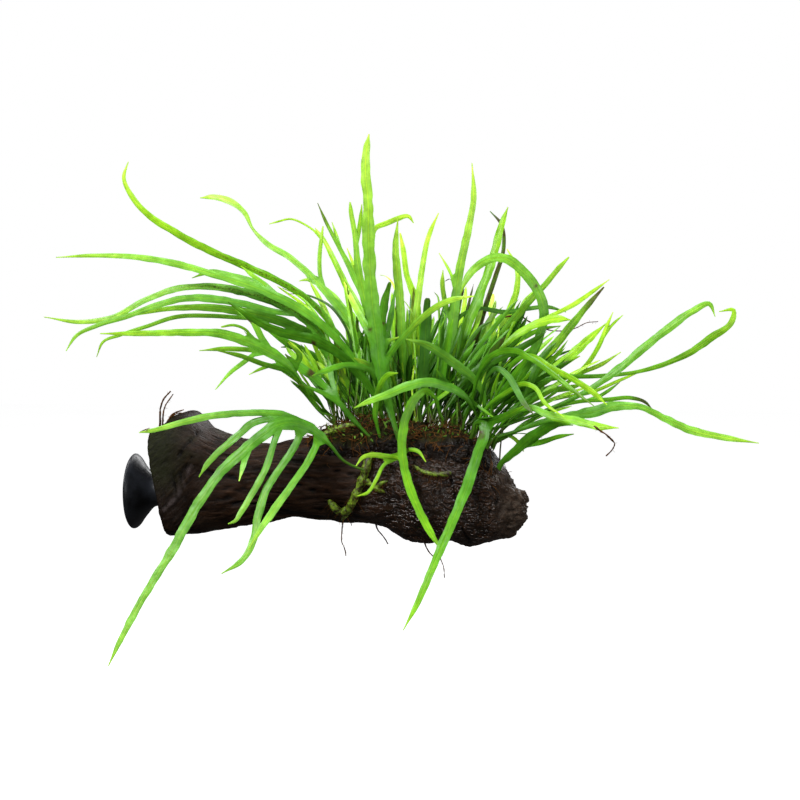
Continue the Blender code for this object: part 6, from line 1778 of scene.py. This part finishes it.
def inside(polygon, u, v):
    """Whether each point (u, v) is inside the polygon."""
    hit = np.zeros(np.shape(u), bool)
    for (ua, va), (ub, vb) in zip(polygon, polygon[1:] + polygon[:1]):
        cross = (va > v) != (vb > v)
        hit ^= cross & (u < (ub - ua) * (v - va) / (vb - va + 1e-9) + ua)
    return hit


def ribbon(path, half, thick, side, seed):
    """Points, faces, columns across in mm and lengths of a plain leaf along path (mm in the frame)."""
    cols = 5
    c = np.linspace(-1, 1, cols)
    run = units(np.gradient(path, axis=0))
    across = units(side - (side * run).sum(1)[:, None] * run)
    normal = np.cross(run, across)
    s = lengths(path)
    wave = 0.12 * np.sin(s[:, None] / 2.7 + seed + 1.5 * c) * c * c - 0.16 * (1 - np.abs(c))
    base = path[:, None] + across[:, None] * (c[None, :] * half[:, None])[..., None]
    base = base + normal[:, None] * (wave * half[:, None])[..., None]
    rib = thick * (1 - 0.8 * c**2)[None, :, None] * normal[:, None] / 2
    points = np.concatenate([(base + rib).reshape(-1, 3), (base - rib).reshape(-1, 3)])
    total = len(path) * cols
    faces = two_sided(grid_faces(len(path), cols), total)
    sides = range(0, total, cols), range(cols - 1, total, cols)
    for line in (*sides, range(cols), range(total - cols, total)):
        faces += [rim_face(a, b, total) for a, b in zip(line, line[1:])]
    return points, faces, np.tile(blade_uv(c, half, s), (2, 1)), np.tile(np.repeat(s / s[-1], cols), 2)


def leaf_width(share, widest, stalk):
    """Half width along a small leaf: a thin stalk, the blade, and a point at the tip."""
    blade = smooth_step((share - stalk) / 0.3) * np.sqrt(np.clip(1 - share**7, 0, 1))
    return np.maximum(0.42 * (1 - 0.5 * share) * (share < 0.97), widest * blade)


def build_fill(mat, solids, rng):
    """The thin leaves that stand between and behind the named fronds."""
    shapes, tones, browns, uvs = [], [], [], []

    def add(path, half, side, low, high, brown, deep):
        points, faces, uv, along = ribbon(path, half, FILL_THICKNESS, side, rng.uniform(0, 9))
        shapes.append((points * MM, faces))
        # painted shade: the tone drops with deep, so leaves further back in the clump are darker
        tone = low + (high - low) * smooth_step(along * 1.15 - 0.1) - 0.1 * deep
        tones.append(tone_colour(np.clip(tone + 0.05 * rng.normal(), 0, 1)))
        foot = 0.75 * smooth_step((0.3 - along) / 0.2)
        browns.append(np.maximum(foot, brown * smooth_step((along - 0.6) / 0.4)))
        uvs.append(uv)

    for route, depth, half, low, high, brown in SMALL_LEAVES:
        u = float(np.clip(route[-1][0] + rng.uniform(-3, 3), *FEET))
        foot = seen(stand(solids, u, log_axis(u) + rng.uniform(-5, 9))[0])
        rows = np.array([foot] + [(a, b, 0) for a, b in route[::-1]])
        rows[:, 2] = foot[2] + (depth - foot[2]) * np.linspace(0, 1, len(rows))
        path = world(spline(rows, 2.2)) / MM
        span = np.linspace(0, 1, len(path))
        add(path, leaf_width(span, half, 0.12), RIGHT + 0.2 * rng.normal(size=3), low, high, brown, 0)
    made = 0
    for _ in range(FILL_TRIES):
        if made == FILL_LEAVES:
            break
        x, angle = rng.uniform(*MAT_FEET), rng.uniform(*FOOT_ANGLES)
        foot = log_surface(np.array([x]), np.array([angle]), 2.5)[0]
        share = (x - FILL_MIDDLE) / FILL_HALF
        back = math.cos(angle)
        lean = unit(np.array((0.6 * share + 0.3 * rng.normal(), 0.9 * back + 0.3 * rng.normal(), 1.0)))
        length = rng.uniform(*FILL_LENGTHS)
        out = np.array((share + 0.35 * rng.normal(), 0.5 * rng.normal() + 0.9 * back, -0.4))
        t = np.linspace(0, 1, 18)[:, None]
        path = foot + lean * length * t + out * length * rng.uniform(0.05, 0.45) * t * t
        path = path + rng.normal(size=3) * length * 0.03 * np.sin(t * 5)
        sheet = sheet_of(path * MM)
        behind = sheet[:, 2] > log_axis(sheet[:, 0]) - 4
        if not (behind.all() and inside(CLUMP, sheet[3:, 0], sheet[3:, 1]).all()):
            continue
        half = leaf_width(t[:, 0], rng.uniform(0.8, 2.0), rng.uniform(0.15, 0.45))
        # deep: how far back in the clump the leaf stands, 0 to 1; it darkens the leaf's tone as painted shade
        deep = smooth_step((sheet[:, 2].mean() + 10) / 60)
        low, high = rng.uniform(0.05, 0.3), rng.choice((0.25, 0.45, 0.65, 0.85), p=(0.32, 0.34, 0.22, 0.12))
        if sheet[-1, 0] < PALE_SIDE:
            low, high = low + 0.15, min(0.95, high + 0.2)
        brown = rng.choice((0, 0.8), p=(0.85, 0.15))
        add(path, half, RIGHT + 0.55 * rng.normal(size=3), low, high, brown, deep)
        made += 1
    points, faces = joined(shapes)
    make_mesh(
        "small_leaves", points, faces, mat, "leaf", colours=np.vstack(tones), uv=np.vstack(uvs),
        extra={"brown": np.concatenate(browns), "dotted": np.zeros(len(points))}, sharp=SHARP_RIM,
    )  # fmt: skip


# ---------------------------------------------------------------- stage


AMBIENT = 0.27  # what the white surroundings light the plant with
MIRRORED = 0.07  # and what the wet surfaces mirror of them
FLOOR_HALF = 6.0  # m
FLOOR_HEIGHT = -0.3
FLOOR_GLOW = 0.75
LIT_POINT = (205, 200, 0)  # where the lights aim: (u, v, w)
LIGHTS = (  # name, place in m from that point, power in W, size in m
    ("key", (-0.45, -0.85, 0.8), 23, 0.35),
    ("fill", (0.9, -0.6, 0.2), 6, 0.6),
    ("top", (0.05, 0.1, 1.0), 15, 0.6),
    ("back", (0.3, 0.9, 0.5), 9, 0.7),
)
LENS = 90  # mm, with a sensor of 36 mm: 400 mm of sheet fill the picture at VIEW_DISTANCE
SENSOR = 36
FAR = 30  # m


def build_stage():
    scene = bpy.context.scene
    scene.view_settings.view_transform = "Standard"
    scene.view_settings.look = "None"
    world_look = bpy.data.worlds.new("studio")
    scene.world = world_look
    world_look.use_nodes = True
    tree = world_look.node_tree
    background = tree.nodes["Background"]
    background.inputs["Color"].default_value = (1, 1, 1, 1)
    ray = tree.nodes.new("ShaderNodeLightPath").outputs
    strength, seen_white = (tree.nodes.new("ShaderNodeMapRange") for _ in range(2))
    strength.inputs["To Min"].default_value = AMBIENT
    strength.inputs["To Max"].default_value = MIRRORED
    tree.links.new(ray["Is Glossy Ray"], strength.inputs["Value"])
    tree.links.new(ray["Is Camera Ray"], seen_white.inputs["Value"])
    tree.links.new(strength.outputs["Result"], seen_white.inputs["To Min"])
    seen_white.inputs["To Max"].default_value = 1.0
    tree.links.new(seen_white.outputs["Result"], background.inputs["Strength"])

    n = Nodes("pale_floor")
    n.set(
        Base_Color=n.ramp(n.noise(n.place(), 3, 2), ((0.3, (0.93,)), (0.7, (0.96,)))), Roughness=0.9,
        Emission_Color=(1, 1, 1), Emission_Strength=FLOOR_GLOW,
    )  # fmt: skip
    mesh = bpy.data.meshes.new("floor")
    square = ((-1, -1), (1, -1), (1, 1), (-1, 1))
    corners = [(x * FLOOR_HALF, y * FLOOR_HALF, FLOOR_HEIGHT) for x, y in square]
    mesh.from_pydata(corners, [], [(0, 1, 2, 3)])
    mesh.materials.append(n.mat)
    floor = bpy.data.objects.new("floor", mesh)
    scene.collection.objects.link(floor)
    floor.visible_diffuse = False
    floor.visible_glossy = False

    centre = Vector(world(LIT_POINT))
    for name, place, energy, size in LIGHTS:
        light = bpy.data.lights.new(name, "AREA")
        light.energy = energy
        light.size = size
        obj = bpy.data.objects.new(name, light)
        scene.collection.objects.link(obj)
        obj.location = centre + Vector(place)
        obj.rotation_euler = (centre - obj.location).to_track_quat("-Z", "Y").to_euler()

    camera = bpy.data.objects.new("camera", bpy.data.cameras.new("camera"))
    scene.collection.objects.link(camera)
    camera.data.lens = LENS
    camera.data.sensor_width = SENSOR
    camera.data.clip_end = FAR
    turn = Matrix(np.column_stack([RIGHT, UP, -AWAY]).tolist())
    place = Vector(-ORIGIN * MM - AWAY * VIEW_DISTANCE * MM)
    camera.matrix_world = Matrix.Translation(place) @ turn.to_4x4()
    scene.camera = camera


def tree_of_nodes(*names):
    """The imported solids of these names, to meet with rays."""
    points, faces = [], []
    for name in names:
        first = len(points)
        points += [v.co.copy() for v in NODES[name].data.vertices]
        faces += [[first + i for i in p.vertices] for p in NODES[name].data.polygons]
    return BVHTree.FromPolygons(points, faces)


def main():
    rng = np.random.default_rng(RANDOM_SEED)
    hair_mat = mat_material("root_fibre", (0.01, 0.005, 0.0015), (0.1, 0.04, 0.008), 0.7)
    ground = tree_of_nodes("driftwood", "root_mat")
    solids = tree_of_nodes("driftwood", "root_mat", *RHIZOMES)
    build_wood(wood_material())
    build_root_mat(
        pad_material(), hair_mat,
        mat_material("moss", (0.03, 0.08, 0.01), (0.13, 0.26, 0.03), 0.6), rng,
    )
    build_rhizomes(rhizome_material(), hair_mat, ground, rng)
    build_roots(hair_mat, solids, rng)
    build_cup(rubber_material())
    straps = grow(solids)
    settle(straps, solids)
    leaf = leaf_material()
    stems = [s for s in straps if s.parent is None]
    for number, stem in enumerate(stems):
        build_frond(stem, leaf, number)
    build_fill(leaf, ground, rng)
    build_stage()


main()
